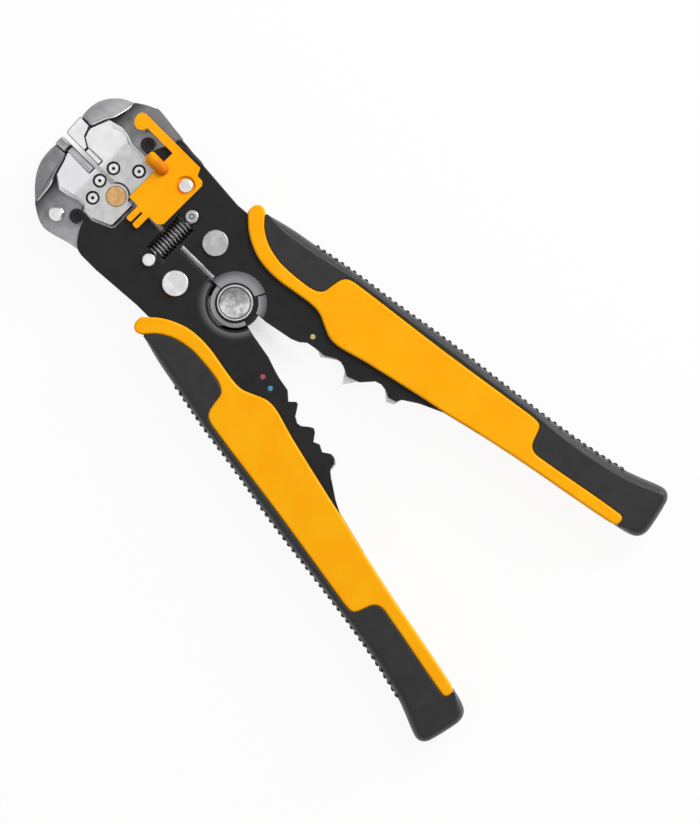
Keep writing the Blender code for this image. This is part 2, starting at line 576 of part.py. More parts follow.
def make_screws(name, body, places, low):
    top = CARRIER_TOP - 0.15
    floor = CARRIER_TOP - SCREW_DEPTH + CLEAR
    profile = [(0, low), (SCREW_SHANK, low), (SCREW_SHANK, floor), (SCREW_HEAD, floor),
               (SCREW_HEAD, top - CHAMFER), (SCREW_HEAD - CHAMFER, top), (SCREW_SOCKET, top),
               (SCREW_SOCKET, floor + CHAMFER), (0, floor + CHAMFER)]
    for number, place in enumerate(places, 1):
        piece("%s_blade_screw_%d" % (name, number), body, "bright steel", turning(place, profile, 16))


def sink_screws(obj, places):
    sinks = bmesh.new()
    for place in places:
        add_slab(sinks, [circle(place, SCREW_SUNK, 20)], CARRIER_TOP - SCREW_DEPTH, CARRIER_TOP + 1)
    combine(obj, "sinks", sinks, "DIFFERENCE")


def make_left_carrier():
    """Left blade holder: boss over the pin, forked tail that the left link rivet runs in."""
    body = "left_carrier"
    boss = arc(PIN, BOSS, 66, -66, 10)
    holes = [circle(PIN, PIN_HEAD + CLEAR, 24)] + [circle(p, SCREW_SHANK + CLEAR, 10) for p in LEFT_SCREWS]
    obj = piece("left_blade_carrier", body, "bright alloy",
                slab([LEFT_CARRIER + boss] + holes, INNER_LOW, CARRIER_TOP))
    combine(obj, "tail", slab([LEFT_TAIL], INNER_LOW, ARM_TOP), "UNION")
    room = arc(PIN, TONGUE + CLEAR + 0.1, 90, 270, 12)
    room = room + [(PIN[0] + 6, room[-1][1] - 0.4), (PIN[0] + 6, room[0][1] + 0.4)]
    combine(obj, "lap", slab([room], INNER_LOW - 1, LAP_Z + CLEAR), "DIFFERENCE")
    sink_screws(obj, LEFT_SCREWS)
    round_edges(obj, PLATE_EDGE)
    piece("carrier_pin", body, "brass", turning(PIN, [
        (0, INNER_LOW), (PIN_SHANK, INNER_LOW), (PIN_SHANK, LAP_Z + CLEAR), (PIN_HEAD, LAP_Z + CLEAR),
        (PIN_HEAD, CARRIER_TOP - CHAMFER), (PIN_HEAD - CHAMFER, CARRIER_TOP), (0, CARRIER_TOP)], 28))
    piece("left_blade_set", body, "ground steel", soften(slab([LEFT_BLADE], INNER_LOW, BLADE_TOP), CHAMFER))
    make_screws("left", body, LEFT_SCREWS, LAP_Z + 2 * CLEAR)


def make_right_carrier():
    """Right blade holder: tongue under the boss, tail whose ring goes round the right link rivet."""
    body = "right_carrier"
    hollow = BOSS + 2 * CLEAR
    cradle = arc(PIN, hollow, 47, -39, 10)
    holes = [circle(p, SCREW_SHANK + CLEAR, 10) for p in RIGHT_SCREWS]
    obj = piece("right_blade_carrier", body, "bright alloy",
                slab([RIGHT_CARRIER + cradle] + holes, INNER_LOW, CARRIER_TOP))
    root = PIN[0] + 5
    tongue = arc(PIN, TONGUE, 90, 270, 14) + [(root, PIN[1] - TONGUE + 0.8), (root, PIN[1] + TONGUE)]
    combine(obj, "tongue", slab([tongue, circle(PIN, PIN_SHANK + CLEAR)], INNER_LOW, LAP_Z), "UNION")
    link = (-LINK[0], LINK[1])
    tail = arc(link, TAIL_RING, 150, 390, 16) + RIGHT_TAIL
    combine(obj, "tail", slab([tail, circle(link, LINK_SHANK + LINK_PLAY)], INNER_LOW, ARM_TOP), "UNION")
    sink_screws(obj, RIGHT_SCREWS)
    round_edges(obj, PLATE_EDGE)
    piece("right_blade_set", body, "ground steel", soften(slab([RIGHT_BLADE], INNER_LOW, BLADE_TOP), CHAMFER))
    make_screws("right", body, RIGHT_SCREWS, INNER_LOW)


def make_stop():
    """Sliding wire stop with its thumb hump, screw and nut."""
    body = "wire_stop_body"
    outline = STOP_BLOCK + STOP_ARM + STOP_THUMB + STOP_FINGERS
    obj = piece("wire_stop", body, "yellow plastic",
                slab([outline, circle(STOP_SCREW, STOP_SHANK + CLEAR)], STOP_LOW, STOP_TOP))
    combine(obj, "hump", soften(slab([HUMP], STOP_LOW + 0.6, STOP_TOP + HUMP_RISE), 0.8, 3), "UNION")
    sunk_low = STOP_TOP - STOP_SUNK_DEPTH
    combine(obj, "sunk", slab([circle(STOP_SCREW, STOP_SUNK, 24)], sunk_low, STOP_TOP + 1), "DIFFERENCE")
    round_edges(obj, CAST_EDGE)
    seat = sunk_low + CLEAR
    tip = INNER_TOP - STOP_NUT_THICK
    piece("stop_screw", body, "bright steel", turning(STOP_SCREW, [
        (0, tip), (STOP_SHANK, tip), (STOP_SHANK, seat), (STOP_HEAD, seat), (STOP_HEAD, seat + 0.6),
        (STOP_HEAD - 0.5, seat + 1.0), (0, seat + 1.0)], 20))
    piece("stop_nut", body, "bright steel", slab(
        [circle(STOP_SCREW, STOP_NUT, 6), circle(STOP_SCREW, STOP_SHANK + CLEAR, 16)], tip, INNER_TOP))


for old in list(bpy.data.objects):
    bpy.data.objects.remove(old)

FINISHES = {
    "blackened steel": finish("blackened steel", "262628", 0.45, 0.6),
    "bright steel": finish("bright steel", "d8d8d8", 0.25, 1.0),
    "ground steel": finish("ground steel", "b4b4b6", 0.35, 1.0),
    "spring steel": finish("spring steel", "3a3a3c", 0.3, 0.9),
    "painted rivet": finish("painted rivet", "c8b078", 0.4, 0.3),
    "cast alloy": finish("cast alloy", "9a9a9a", 0.4, 0.8),
    "bright alloy": finish("bright alloy", "d6d6d6", 0.4, 0.7),
    "brass": finish("brass", "d9b27c", 0.3, 0.9),
    "yellow plastic": finish("yellow plastic", "ffaf0a", 0.4, 0.0),
    "soft rubber": finish("soft rubber", "383838", 0.7, 0.0),
}

EMPTIES = {}
for body_name, axis in BODIES.items():
    EMPTIES[body_name] = bpy.data.objects.new(body_name + "_axis", None)
    EMPTIES[body_name].location = (axis[0] * MM, axis[1] * MM, 0)
    bpy.context.scene.collection.objects.link(EMPTIES[body_name])

for hand, lever, edge, dies, pins in ((-1, "left_lever", LEFT_DIE_EDGE, LEFT_INSERT, LEFT_DIE_RIVETS),
                                      (1, "right_lever", RIGHT_DIE_EDGE, RIGHT_INSERT, RIGHT_DIE_RIVETS)):
    make_plates(hand, lever, edge, pins)
    make_dies(lever.split("_")[0], lever, dies, pins)
    make_grip(hand, lever)
    make_link_and_post(hand, lever)
    make_jaw(hand)
make_main_rivet()
make_spring()
make_left_carrier()
make_right_carrier()
make_stop()
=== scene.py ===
from math import cos, sin, pi, radians, hypot

import bpy
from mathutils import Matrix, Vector


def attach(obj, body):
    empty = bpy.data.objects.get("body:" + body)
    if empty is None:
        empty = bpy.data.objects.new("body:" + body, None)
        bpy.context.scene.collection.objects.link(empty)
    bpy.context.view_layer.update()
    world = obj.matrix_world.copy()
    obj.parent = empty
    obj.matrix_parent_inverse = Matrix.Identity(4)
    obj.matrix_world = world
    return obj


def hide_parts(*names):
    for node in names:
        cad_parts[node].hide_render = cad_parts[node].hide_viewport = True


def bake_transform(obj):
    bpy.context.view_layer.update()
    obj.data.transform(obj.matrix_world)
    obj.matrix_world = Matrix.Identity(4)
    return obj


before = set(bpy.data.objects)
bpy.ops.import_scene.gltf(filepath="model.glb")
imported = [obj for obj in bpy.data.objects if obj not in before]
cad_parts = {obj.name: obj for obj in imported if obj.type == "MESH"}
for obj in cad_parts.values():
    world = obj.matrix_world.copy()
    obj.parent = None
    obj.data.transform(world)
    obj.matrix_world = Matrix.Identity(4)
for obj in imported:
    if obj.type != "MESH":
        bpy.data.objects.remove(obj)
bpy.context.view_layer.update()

# Sizes are in millimetres, as on the solids: the main rivet is the origin and +Y runs to the jaws.
MM = 0.001
GRIP_THICK = 15.0
PLATE_TOP = 12.9

# How the grips sit on their tangs
HANDLE_LEAN = -1.76
LEFT_TURN = 0.009
LEFT_CENTRE = -30.0
RIGHT_TURN = 0.0125
RIGHT_CENTRE = -57.0
RIGHT_LENGTH = 0.994

# Cosine of a chamfer's slope, and of a face that counts as level
CHAMFER_SLOPE = 0.71
LEVEL = 0.9999


# Nodes

def linear(code):
    """An sRGB hex value as the linear colour that a shader takes."""
    parts = [c / 255 for c in bytes.fromhex(code)]
    return (*[c / 12.92 if c < 0.04045 else ((c + 0.055) / 1.055) ** 2.4 for c in parts], 1)


def add(tree, kind, wires=None, **settings):
    """A shader node with its settings; a wire is a socket to link from or a value to set."""
    made = tree.nodes.new("ShaderNode" + kind)
    for key, value in settings.items():
        setattr(made, key, value)
    for socket, source in (wires or {}).items():
        if isinstance(source, bpy.types.NodeSocket):
            tree.links.new(source, made.inputs[socket])
        else:
            made.inputs[socket].default_value = source
    return made


def new_finish(name, **constants):
    """An empty finish, with what is the same all over set on the shader's own sockets."""
    material = bpy.data.materials.new(name)
    material.use_nodes = True
    shader = material.node_tree.nodes["Principled BSDF"]
    for key, value in constants.items():
        shader.inputs[key.replace("_", " ")].default_value = value
    return material, material.node_tree, shader


def per_mm(size):
    """The texture scale that gives a grain of that many millimetres."""
    return 1 / (size * MM)


def mix(tree, share, first, second):
    """Two colours blended by a share; a colour is a socket or an sRGB hex value."""
    first, second = [linear(c) if isinstance(c, str) else c for c in (first, second)]
    return add(tree, "Mix", {0: share, 6: first, 7: second}, data_type="RGBA").outputs[2]


def ramp(tree, value, start, end, low=0.0, high=1.0, **settings):
    """A value carried from one range to another, and held at its ends."""
    wires = {"Value": value, "From Min": start, "From Max": end, "To Min": low, "To Max": high}
    return add(tree, "MapRange", wires, **settings).outputs["Result"]


def axes(tree):
    """The place on the part, as X, Y and Z outputs."""
    return add(tree, "SeparateXYZ", {0: add(tree, "TexCoord").outputs["Object"]}).outputs


def past(tree, axis, start, end):
    """0 to 1 along an axis, between two places in millimetres."""
    return ramp(tree, axes(tree)[axis], start * MM, end * MM)


def from_pivot(tree):
    """Distance from the main rivet's axis."""
    place = axes(tree)
    flat = add(tree, "CombineXYZ", {"X": place["X"], "Y": place["Y"]})
    return add(tree, "VectorMath", {0: flat.outputs[0]}, operation="LENGTH").outputs["Value"]


def upward(tree, kind="True Normal"):
    """The Z of a face's normal, or of its smoothed one."""
    return add(tree, "SeparateXYZ", {0: add(tree, "NewGeometry").outputs[kind]}).outputs["Z"]


def absolute(tree, value):
    return add(tree, "Math", {0: value}, operation="ABSOLUTE").outputs[0]


def chamfered(tree, spread):
    """1 on faces that slope about as a chamfer does, and 0 elsewhere."""
    wires = {0: absolute(tree, upward(tree)), 1: CHAMFER_SLOPE, 2: spread}
    return add(tree, "Math", wires, operation="COMPARE").outputs[0]


def mottled(tree, grain, dark, light, detail=3.0, stretch=None):
    """Two tones of one colour, broken up at the given grain; returns the colour and the pattern."""
    place = add(tree, "TexCoord").outputs["Object"]
    if stretch:
        place = add(tree, "Mapping", {"Vector": place, "Scale": stretch}).outputs["Vector"]
    noise = add(tree, "TexNoise", {"Vector": place, "Scale": per_mm(grain), "Detail": detail})
    level = ramp(tree, noise.outputs["Fac"], 0.35, 0.65)
    return mix(tree, level, dark, light), level


def fine_grain(tree, size):
    place = add(tree, "TexCoord").outputs["Object"]
    return add(tree, "TexNoise", {"Vector": place, "Scale": per_mm(size)}).outputs["Fac"]


def paint(tree, shader, colour):
    tree.links.new(colour, shader.inputs["Base Color"])


def roughen(tree, shader, pattern, low, high):
    """The pattern also moves the roughness."""
    tree.links.new(ramp(tree, pattern, 0.0, 1.0, low, high), shader.inputs["Roughness"])


def emboss(tree, shader, height, depth):
    """The pattern stands out by that many millimetres."""
    bump = add(tree, "Bump", {"Height": height, "Distance": depth * MM, "Strength": 1.0})
    tree.links.new(bump.outputs["Normal"], shader.inputs["Normal"])


# Finishes

# Black oxide on stamped sheet steel: a satin near-black, a little cloudy, bare grey where the edge rubs.
def black_oxide_steel():
    material, tree, shader = new_finish("black oxide steel", Metallic=0.0, Specular_IOR_Level=0.17)
    tone, grain = mottled(tree, 3.5, "171718", "1d1d1e")
    paint(tree, shader, mix(tree, chamfered(tree, 0.2), tone, "3c3c3e"))
    roughen(tree, shader, grain, 0.42, 0.58)
    emboss(tree, shader, fine_grain(tree, 0.35), 0.012)
    return material


# Nickel-plated steel, headed and tumbled: pale and bright, with soft clouds and small dents.
def nickel_plate(name, dark, light, rim):
    material, tree, shader = new_finish(name, Metallic=1.0)
    tone, grain = mottled(tree, 2.6, dark, light)
    paint(tree, shader, mix(tree, chamfered(tree, 0.25), tone, rim))
    roughen(tree, shader, grain, 0.28, 0.38)
    emboss(tree, shader, grain, 0.012)
    return material


# The main rivet's head: a thin bright pressed rim, a dark ring of painted shade in the groove inside it, and
# a dull, hammered face with painted shade that darkens it towards +X and +Y.
def hammered_steel():
    material, tree, shader = new_finish("hammered rivet steel", Metallic=0.9)
    face, blows = mottled(tree, 2.2, "929293", "c4c4c5", 2.0)
    place = axes(tree)
    # painted shade: the face darkens towards +X and +Y
    along = add(tree, "Math", {0: place["X"], 1: place["Y"]}, operation="ADD").outputs[0]
    tone = mix(tree, ramp(tree, along, -0.5 * MM, 4.5 * MM, 0.0, 0.7), face, "58585a")
    radius = from_pivot(tree)
    # from 4.4 mm out a dark ring of painted shade in the groove, then the bright rim
    for start, colour in ((4.4, "5c5c5e"), (4.85, "cacacb")):
        tone = mix(tree, ramp(tree, radius, start * MM, (start + 0.12) * MM), tone, colour)
    paint(tree, shader, tone)
    roughen(tree, shader, blows, 0.3, 0.45)
    emboss(tree, shader, blows, 0.08)
    return material


# Faced and oiled steel round the pivot: grey rings that fade into the black at their outer edge.
def faced_hub(name, dark, light, inner, outer):
    material, tree, shader = new_finish(name, Metallic=0.6)
    radius = from_pivot(tree)
    wires = {"W": radius, "Scale": per_mm(0.25), "Detail": 1.0}
    rings = add(tree, "TexNoise", wires, noise_dimensions="1D").outputs["Fac"]
    fade = ramp(tree, radius, inner * MM, outer * MM, 1.0, 0.0, interpolation_type="SMOOTHSTEP")
    line = ramp(tree, rings, 0.0, 1.0, -0.12, 0.12)
    level = add(tree, "Math", {0: fade, 1: line}, operation="ADD", use_clamp=True)
    paint(tree, shader, mix(tree, level.outputs[0], dark, light))
    roughen(tree, shader, rings, 0.35, 0.5)
    return material


# Surface-ground tool steel: mid-grey with fine straight grinding lines, and, where an edge is given, a dark
# line of painted shade along it, where the blade's side wall is in shadow.
def ground_steel(name, dark, light, along, edge=None):
    material, tree, shader = new_finish(name, Metallic=0.9)
    tone, lines = mottled(tree, 0.5, dark, light, 2.0, along)
    if edge is not None:
        # painted shade along the blade's edge
        tone = mix(tree, past(tree, "X", edge - 0.3, edge), tone, "3a3a3c")
    paint(tree, shader, tone)
    roughen(tree, shader, lines, 0.3, 0.48)
    emboss(tree, shader, lines, 0.02)
    return material


# Die-cast zinc in the jaws' hollows: dull grey, with painted shade that is dark under the caps and lightens
# towards the pivot, and more painted shade along the right jaw's outer edge.
def cast_zinc():
    material, tree, shader = new_finish("die-cast zinc", Metallic=0.9)
    cloud, skin = mottled(tree, 3.0, "6c6c6e", "808082")
    # painted shade from the caps: lighter towards the pivot here, dark under the caps below
    tone = mix(tree, past(tree, "Y", 45, 58), "a4a4a6", cloud)
    # painted shade along the right jaw's outer edge
    tone = mix(tree, past(tree, "X", 18.5, 21), tone, "747476")
    paint(tree, shader, mix(tree, past(tree, "Y", 59, 63.4), tone, "303032"))
    roughen(tree, shader, skin, 0.34, 0.46)
    emboss(tree, shader, skin, 0.02)
    return material


# Linished zinc on the jaws' caps: grey with faint lines, and painted light that makes the right cap, on the
# stop's side, lighter.
def linished_zinc():
    material, tree, shader = new_finish("linished zinc", Metallic=0.5)
    tone, lines = mottled(tree, 2.4, "7e7e80", "939395", 3.0, (1, 0.25, 1))
    # painted light: lighter towards +X, on the right cap
    lit_cap_tone = mottled(tree, 2.4, "8e8e90", "a4a4a6", 3.0, (1, 0.25, 1))[0]
    paint(tree, shader, mix(tree, past(tree, "X", -2, 2), tone, lit_cap_tone))
    roughen(tree, shader, lines, 0.66, 0.78)
    emboss(tree, shader, lines, 0.02)
    return material


# Bead-blasted nickel on the blade holders: almost white satin, the front half brighter, with painted shade
# making the left holder's front a little darker and the sides and chamfers dark.
def blasted_nickel():
    material, tree, shader = new_finish("blasted nickel", Metallic=0.75)
    tone, grain = mottled(tree, 2.2, "aeaeb0", "bababb")
    bright = mottled(tree, 3.0, "cdcdce", "d6d6d6")[0]
    # painted shade: the left holder's front a little darker
    bright = mix(tree, past(tree, "X", -1, 0), "cdcdcf", bright)
    tone = mix(tree, past(tree, "Y", 55.6, 57.0), tone, bright)
    # painted shade on the sides and chamfers
    paint(tree, shader, mix(tree, ramp(tree, upward(tree), 0.78, 0.97), "4a4a4c", tone))
    roughen(tree, shader, grain, 0.4, 0.5)
    emboss(tree, shader, fine_grain(tree, 0.3), 0.006)
    return material


# Turned brass pin, filed flush: pale gold with faint cloudy tarnish.
def flush_brass():
    material, tree, shader = new_finish("flush brass", Metallic=0.85)
    tone, grain = mottled(tree, 1.2, "b98f5c", "c79f6c")
    paint(tree, shader, tone)
    roughen(tree, shader, grain, 0.34, 0.46)
    emboss(tree, shader, grain, 0.01)
    return material


# Injection-moulded polypropylene: a warm opaque yellow with the mould's fine matt grain.
def moulded_yellow(name, dark, light):
    material, tree, shader = new_finish(name, Specular_IOR_Level=0.1)
    tone, cloud = mottled(tree, 9.0, dark, light, 2.0)
    paint(tree, shader, tone)
    roughen(tree, shader, cloud, 0.4, 0.48)
    emboss(tree, shader, fine_grain(tree, 0.4), 0.012)
    return material


# The same plastic on the thumb ridge, with painted light and shade: dark orange at its back end, turning
# bright yellow towards its front.
def shaded_ridge_yellow():
    material, tree, shader = new_finish("amber polypropylene with painted shade", Specular_IOR_Level=0.12)
    ridge_shade, cloud = mottled(tree, 3.0, "c86a00", "d87802", 2.0)
    # painted light and shade along the ridge
    paint(tree, shader, mix(tree, past(tree, "Y", 44.2, 49.5), ridge_shade, "ffae08"))
    roughen(tree, shader, cloud, 0.4, 0.5)
    return material


# Soft thermoplastic rubber: charcoal, matt on the flat, and in a second tone where it turns away: lighter on
# the grips, a painted sheen, and darker on the tread, painted shade.
def soft_rubber(name, side):
    material, tree, shader = new_finish(name, Specular_IOR_Level=0.28)
    tone, cloud = mottled(tree, 4.0, "1f1f20", "252526")
    # where the rubber turns away from the top: painted sheen on the grips, painted shade on the tread
    turn = ramp(tree, absolute(tree, upward(tree, "Normal")), 0.92, 0.35)
    paint(tree, shader, mix(tree, turn, tone, side))
    roughen(tree, shader, cloud, 0.38, 0.48)
    emboss(tree, shader, fine_grain(tree, 0.3), 0.02)
    return material


# Drawn spring wire, oiled black: dark with a sharp bright streak along each turn.
def oiled_wire():
    material, tree, shader = new_finish("oiled spring wire", Metallic=1.0)
    tone, grain = mottled(tree, 0.6, "58585a", "727274")
    paint(tree, shader, tone)
    roughen(tree, shader, grain, 0.2, 0.32)
    return material


# A drop of enamel on a rivet end: strong colour, cloudy where it lies thinner.
def enamel_dot(name, dark, light):
    material, tree, shader = new_finish(name)
    tone, cloud = mottled(tree, 0.8, dark, light)
    paint(tree, shader, tone)
    roughen(tree, shader, cloud, 0.22, 0.36)
    return material


OXIDE = black_oxide_steel()
NICKEL = nickel_plate("nickel-plated steel", "cbcbcc", "d6d6d6", "e4e4e4")
DULL_NICKEL = nickel_plate("dull nickel-plated steel", "a2a2a4", "b0b0b1", "d8d8d8")
# grey steel for the pieces of painted shade under the spring and in the post's socket
POCKET = nickel_plate("grey pocket steel for painted shade", "4c4c4e", "5a5a5c", "6a6a6c")
RIVET_FACE = hammered_steel()
GROUND = ground_steel("ground die steel", "b2b2b5", "d8d8da", (1, 1, 0.1))
BLADE = ground_steel("ground blade steel", "7c7c7f", "b9b9bb", (1, 0.08, 0.3))
# the left blade set, with painted shade along its edge
EDGE_SHADED_BLADE = ground_steel("blade steel with painted edge shade", "8a8a8d", "bdbdbf", (1, 0.08, 0.3), -1.25)
ZINC = cast_zinc()
LINISHED = linished_zinc()
BLASTED = blasted_nickel()
BRASS = flush_brass()
YELLOW = moulded_yellow("moulded yellow polypropylene", "ffab02", "ffb205")
AMBER = moulded_yellow("moulded amber polypropylene", "ffa800", "ffb004")
THUMB = shaded_ridge_yellow()
# the lighter side tone is a painted sheen
RUBBER = soft_rubber("soft rubber", "3c3d40")
# the darker side tone is painted shade
TREAD = soft_rubber("soft tread rubber", "1c1c1d")
SPRING_WIRE = oiled_wire()
LEFT_HUB = faced_hub("oiled faced steel", "1e1e1f", "565658", 9.0, 11.2)
RIGHT_HUB = faced_hub("bright faced steel", "4a4a4c", "8e8e90", 6.4, 9.6)

DRESSED = {
    "left_front_plate": OXIDE, "right_front_plate": OXIDE,
    "left_back_plate": OXIDE, "right_back_plate": OXIDE,
    "left_crimp_die": GROUND, "right_crimp_die": GROUND,
    "left_die_rivet_1": enamel_dot("red enamel", "8a3440", "b85862"),
    "left_die_rivet_2": enamel_dot("blue enamel", "2c6c8c", "5c9ec0"),
    "right_die_rivet_1": enamel_dot("cream enamel", "b0a468", "dcd29a"),
    "main_rivet": RIVET_FACE, "left_link_rivet": NICKEL, "right_link_rivet": DULL_NICKEL,
    "left_spring_post": NICKEL, "right_spring_post": DULL_NICKEL,
    "wire_stop": AMBER, "stop_screw": NICKEL, "stop_nut": NICKEL,
    "left_jaw": ZINC, "right_jaw": ZINC, "left_jaw_pad": BLADE, "right_jaw_pad": BLASTED,
    "left_jaw_rivet": NICKEL, "right_jaw_rivet": NICKEL,
    "left_blade_carrier": BLASTED, "right_blade_carrier": BLASTED,
    "left_blade_set": EDGE_SHADED_BLADE, "right_blade_set": BLASTED,
    "left_blade_screw_1": NICKEL, "left_blade_screw_2": NICKEL,
    "right_blade_screw_1": NICKEL, "right_blade_screw_2": NICKEL,
    "carrier_pin": BRASS,
}
for node, material in DRESSED.items():
    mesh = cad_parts[node].data
    mesh.materials.clear()
    mesh.materials.append(material)


# Modelling helpers

def deselect():
    for obj in bpy.context.selected_objects:
        obj.select_set(False)


def select_only(obj):
    deselect()
    obj.select_set(True)
    bpy.context.view_layer.objects.active = obj


def edit(obj, kind="VERT"):
    """Opens a piece for editing with nothing selected."""
    select_only(obj)
    bpy.ops.object.mode_set(mode="EDIT")
    bpy.ops.mesh.select_mode(type=kind)
    bpy.ops.mesh.select_all(action="DESELECT")


def done(obj, name, material, body, angle=35):
    """Leaves edit mode and gives the piece its name, finish and body."""
    bpy.ops.object.mode_set(mode="OBJECT")
    obj.name = name
    obj.data.materials.clear()
    obj.data.materials.append(material)
    select_only(obj)
    bpy.ops.object.shade_smooth_by_angle(angle=radians(angle))
    for face in obj.data.polygons:
        if abs(face.normal.z) > LEVEL:
            face.use_smooth = False
    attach(obj, body)


def cut_away(obj, tool):
    """Takes a cutting shape out of a piece."""
    bpy.ops.object.mode_set(mode="OBJECT")
    cut = obj.modifiers.new("cut", "BOOLEAN")
    cut.operation = "DIFFERENCE"
    cut.object = tool
    select_only(obj)
    bpy.ops.object.modifier_apply(modifier=cut.name)
    bpy.data.objects.remove(tool)


def joined(pieces):
    deselect()
    for obj in pieces:
        obj.select_set(True)
    bpy.context.view_layer.objects.active = pieces[0]
    bpy.ops.object.join()
    return bpy.context.active_object


def faces_out():
    """Turns all the faces of the piece in edit mode outwards."""
    bpy.ops.mesh.select_all(action="SELECT")
    bpy.ops.mesh.normals_make_consistent(inside=False)


def ring_of(points, z):
    """A closed outline: a mesh circle with its vertices moved to the points, open for editing."""
    deselect()
    bpy.ops.mesh.primitive_circle_add(vertices=len(points), radius=MM, fill_type="NOTHING")
    obj = bpy.context.active_object
    for vertex, (x, y) in zip(obj.data.vertices, points):
        vertex.co = (x * MM, y * MM, z * MM)
    bpy.ops.object.mode_set(mode="EDIT")
    bpy.ops.mesh.select_all(action="SELECT")
    return obj


def raise_ring(obj, points, z):
    """Extrudes the selected ring and moves the new one to the next outline."""
    bpy.ops.mesh.extrude_edges_move(TRANSFORM_OT_translate={"value": (0, 0, 0)})
    bpy.ops.object.mode_set(mode="OBJECT")
    fresh = [v for v in obj.data.vertices if v.select]
    for vertex, (x, y) in zip(fresh, points):
        vertex.co = (x * MM, y * MM, z * MM)
    bpy.ops.object.mode_set(mode="EDIT")


def lofted(layers):
    """A closed solid through like outlines, from the lowest up, each end filled."""
    points, z = layers[0]
    obj = ring_of(points, z)
    bpy.ops.mesh.edge_face_add()
    bpy.ops.mesh.select_all(action="SELECT")
    for points, z in layers[1:]:
        raise_ring(obj, points, z)
    bpy.ops.mesh.edge_face_add()
    faces_out()
    return obj


def box_between(low, high):
    """A cube with two of its corners moved to the given places."""
    deselect()
    bpy.ops.mesh.primitive_cube_add(size=1)
    obj = bpy.context.active_object
    for vertex in obj.data.vertices:
        vertex.co = Vector([l + (h - l) * (c + 0.5) for l, h, c in zip(low, high, vertex.co)]) * MM
    return obj


def make_block(low, high, edge):
    """A bar with broken edges between two corners."""
    obj = box_between(low, high)
    edit(obj, "EDGE")
    bpy.ops.mesh.select_all(action="SELECT")
    bpy.ops.mesh.bevel(offset=edge * MM, segments=2, affect="EDGES")
    bpy.ops.object.mode_set(mode="OBJECT")
    return obj


def disc_face(place, radius, z, sides):
    """A filled circle, in edit mode and all selected."""
    deselect()
    bpy.ops.mesh.primitive_circle_add(vertices=sides, radius=radius * MM, fill_type="NGON",
                                      location=(place[0] * MM, place[1] * MM, z * MM))
    obj = bpy.context.active_object
    bpy.ops.object.transform_apply(location=True, rotation=False, scale=False)
    edit(obj, "FACE")
    bpy.ops.mesh.select_all(action="SELECT")
    return obj


def make_washer(place, inner, outer, low, high, sides=28):
    """A flat ring: a disc, its middle inset and taken out, then given its thickness."""
    obj = disc_face(place, outer, low, sides)
    bpy.ops.mesh.inset(thickness=(outer - inner) * MM)
    bpy.ops.mesh.delete(type="FACE")
    bpy.ops.mesh.select_all(action="SELECT")
    bpy.ops.mesh.extrude_region_move(TRANSFORM_OT_translate={"value": (0, 0, (high - low) * MM)})
    faces_out()
    bpy.ops.object.mode_set(mode="OBJECT")
    return obj


def make_disc(place, radius, low, high, sides):
    """A shallow plug with a ring on its top."""
    obj = disc_face(place, radius, low, sides)
    bpy.ops.mesh.extrude_region_move(TRANSFORM_OT_translate={"value": (0, 0, (high - low) * MM)})
    bpy.ops.mesh.inset(thickness=radius * 0.2 * MM)
    faces_out()
    bpy.ops.object.mode_set(mode="OBJECT")
    return obj


def copy_of(node):
    """A node's solid as a new piece, its loose triangles merged."""
    obj = bpy.data.objects.new("copy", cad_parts[node].data.copy())
    bpy.context.scene.collection.objects.link(obj)
    edit(obj)
    bpy.ops.mesh.select_all(action="SELECT")
    bpy.ops.mesh.remove_doubles(threshold=1e-6)
    bpy.ops.mesh.dissolve_limited(angle_limit=radians(0.5))
    bpy.ops.object.mode_set(mode="OBJECT")
    return obj


def wire(points, thickness, sides):
    """A round wire along points, as a mesh."""
    curve = bpy.data.curves.new("wire", "CURVE")
    curve.dimensions = "3D"
    curve.bevel_depth = thickness / 2 * MM
    curve.bevel_resolution = sides
    curve.use_fill_caps = True
    line = curve.splines.new("POLY")
    line.points.add(len(points) - 1)
    for target, place in zip(line.points, points):
        target.co = (*(Vector(place) * MM), 1)
    obj = bpy.data.objects.new("wire", curve)
    bpy.context.scene.collection.objects.link(obj)
    select_only(obj)
    bpy.ops.object.convert(target="MESH")
    return bpy.context.active_object


# Outlines

def arc(centre, radius, start, end, steps):
    turns = [radians(start + (end - start) * i / steps) for i in range(steps + 1)]
    return [(centre[0] + radius * cos(a), centre[1] + radius * sin(a)) for a in turns]


def smooth(points, steps):
    """A curve through all the points, both ends included, kept straight along their long stretches."""
    slopes = []
    for i in range(len(points)):
        a, b, c = points[max(i - 1, 0)], points[i], points[min(i + 1, len(points) - 1)]
        length = hypot(b[0] - a[0], b[1] - a[1]) + hypot(c[0] - b[0], c[1] - b[1])
        slopes.append(((c[0] - a[0]) / length, (c[1] - a[1]) / length))
    curve = []
    for a, b, leave, meet in zip(points, points[1:], slopes, slopes[1:]):
        length = hypot(b[0] - a[0], b[1] - a[1])
        for i in range(steps):
            t = i / steps
            rest = 1 - t
            curve.append(tuple(
                rest * rest * (1 + 2 * t) * a[k] + t * t * (3 - 2 * t) * b[k]
                + t * rest * length * (rest * leave[k] - t * meet[k]) for k in (0, 1)))
    return curve + [points[-1]]


def offset(points, distance):
    """An open line moved sideways, to its left for a positive distance."""
    moved = []
    for i, point in enumerate(points):
        before, after = points[max(i - 1, 0)], points[min(i + 1, len(points) - 1)]
        dx, dy = after[0] - before[0], after[1] - before[1]
        length = hypot(dx, dy)
        moved.append((point[0] - dy / length * distance, point[1] + dx / length * distance))
    return moved


def drawn_in(loop, distance):
    """A closed outline moved inwards."""
    return offset(loop[-1:] + loop + loop[:1], distance)[1:-1]


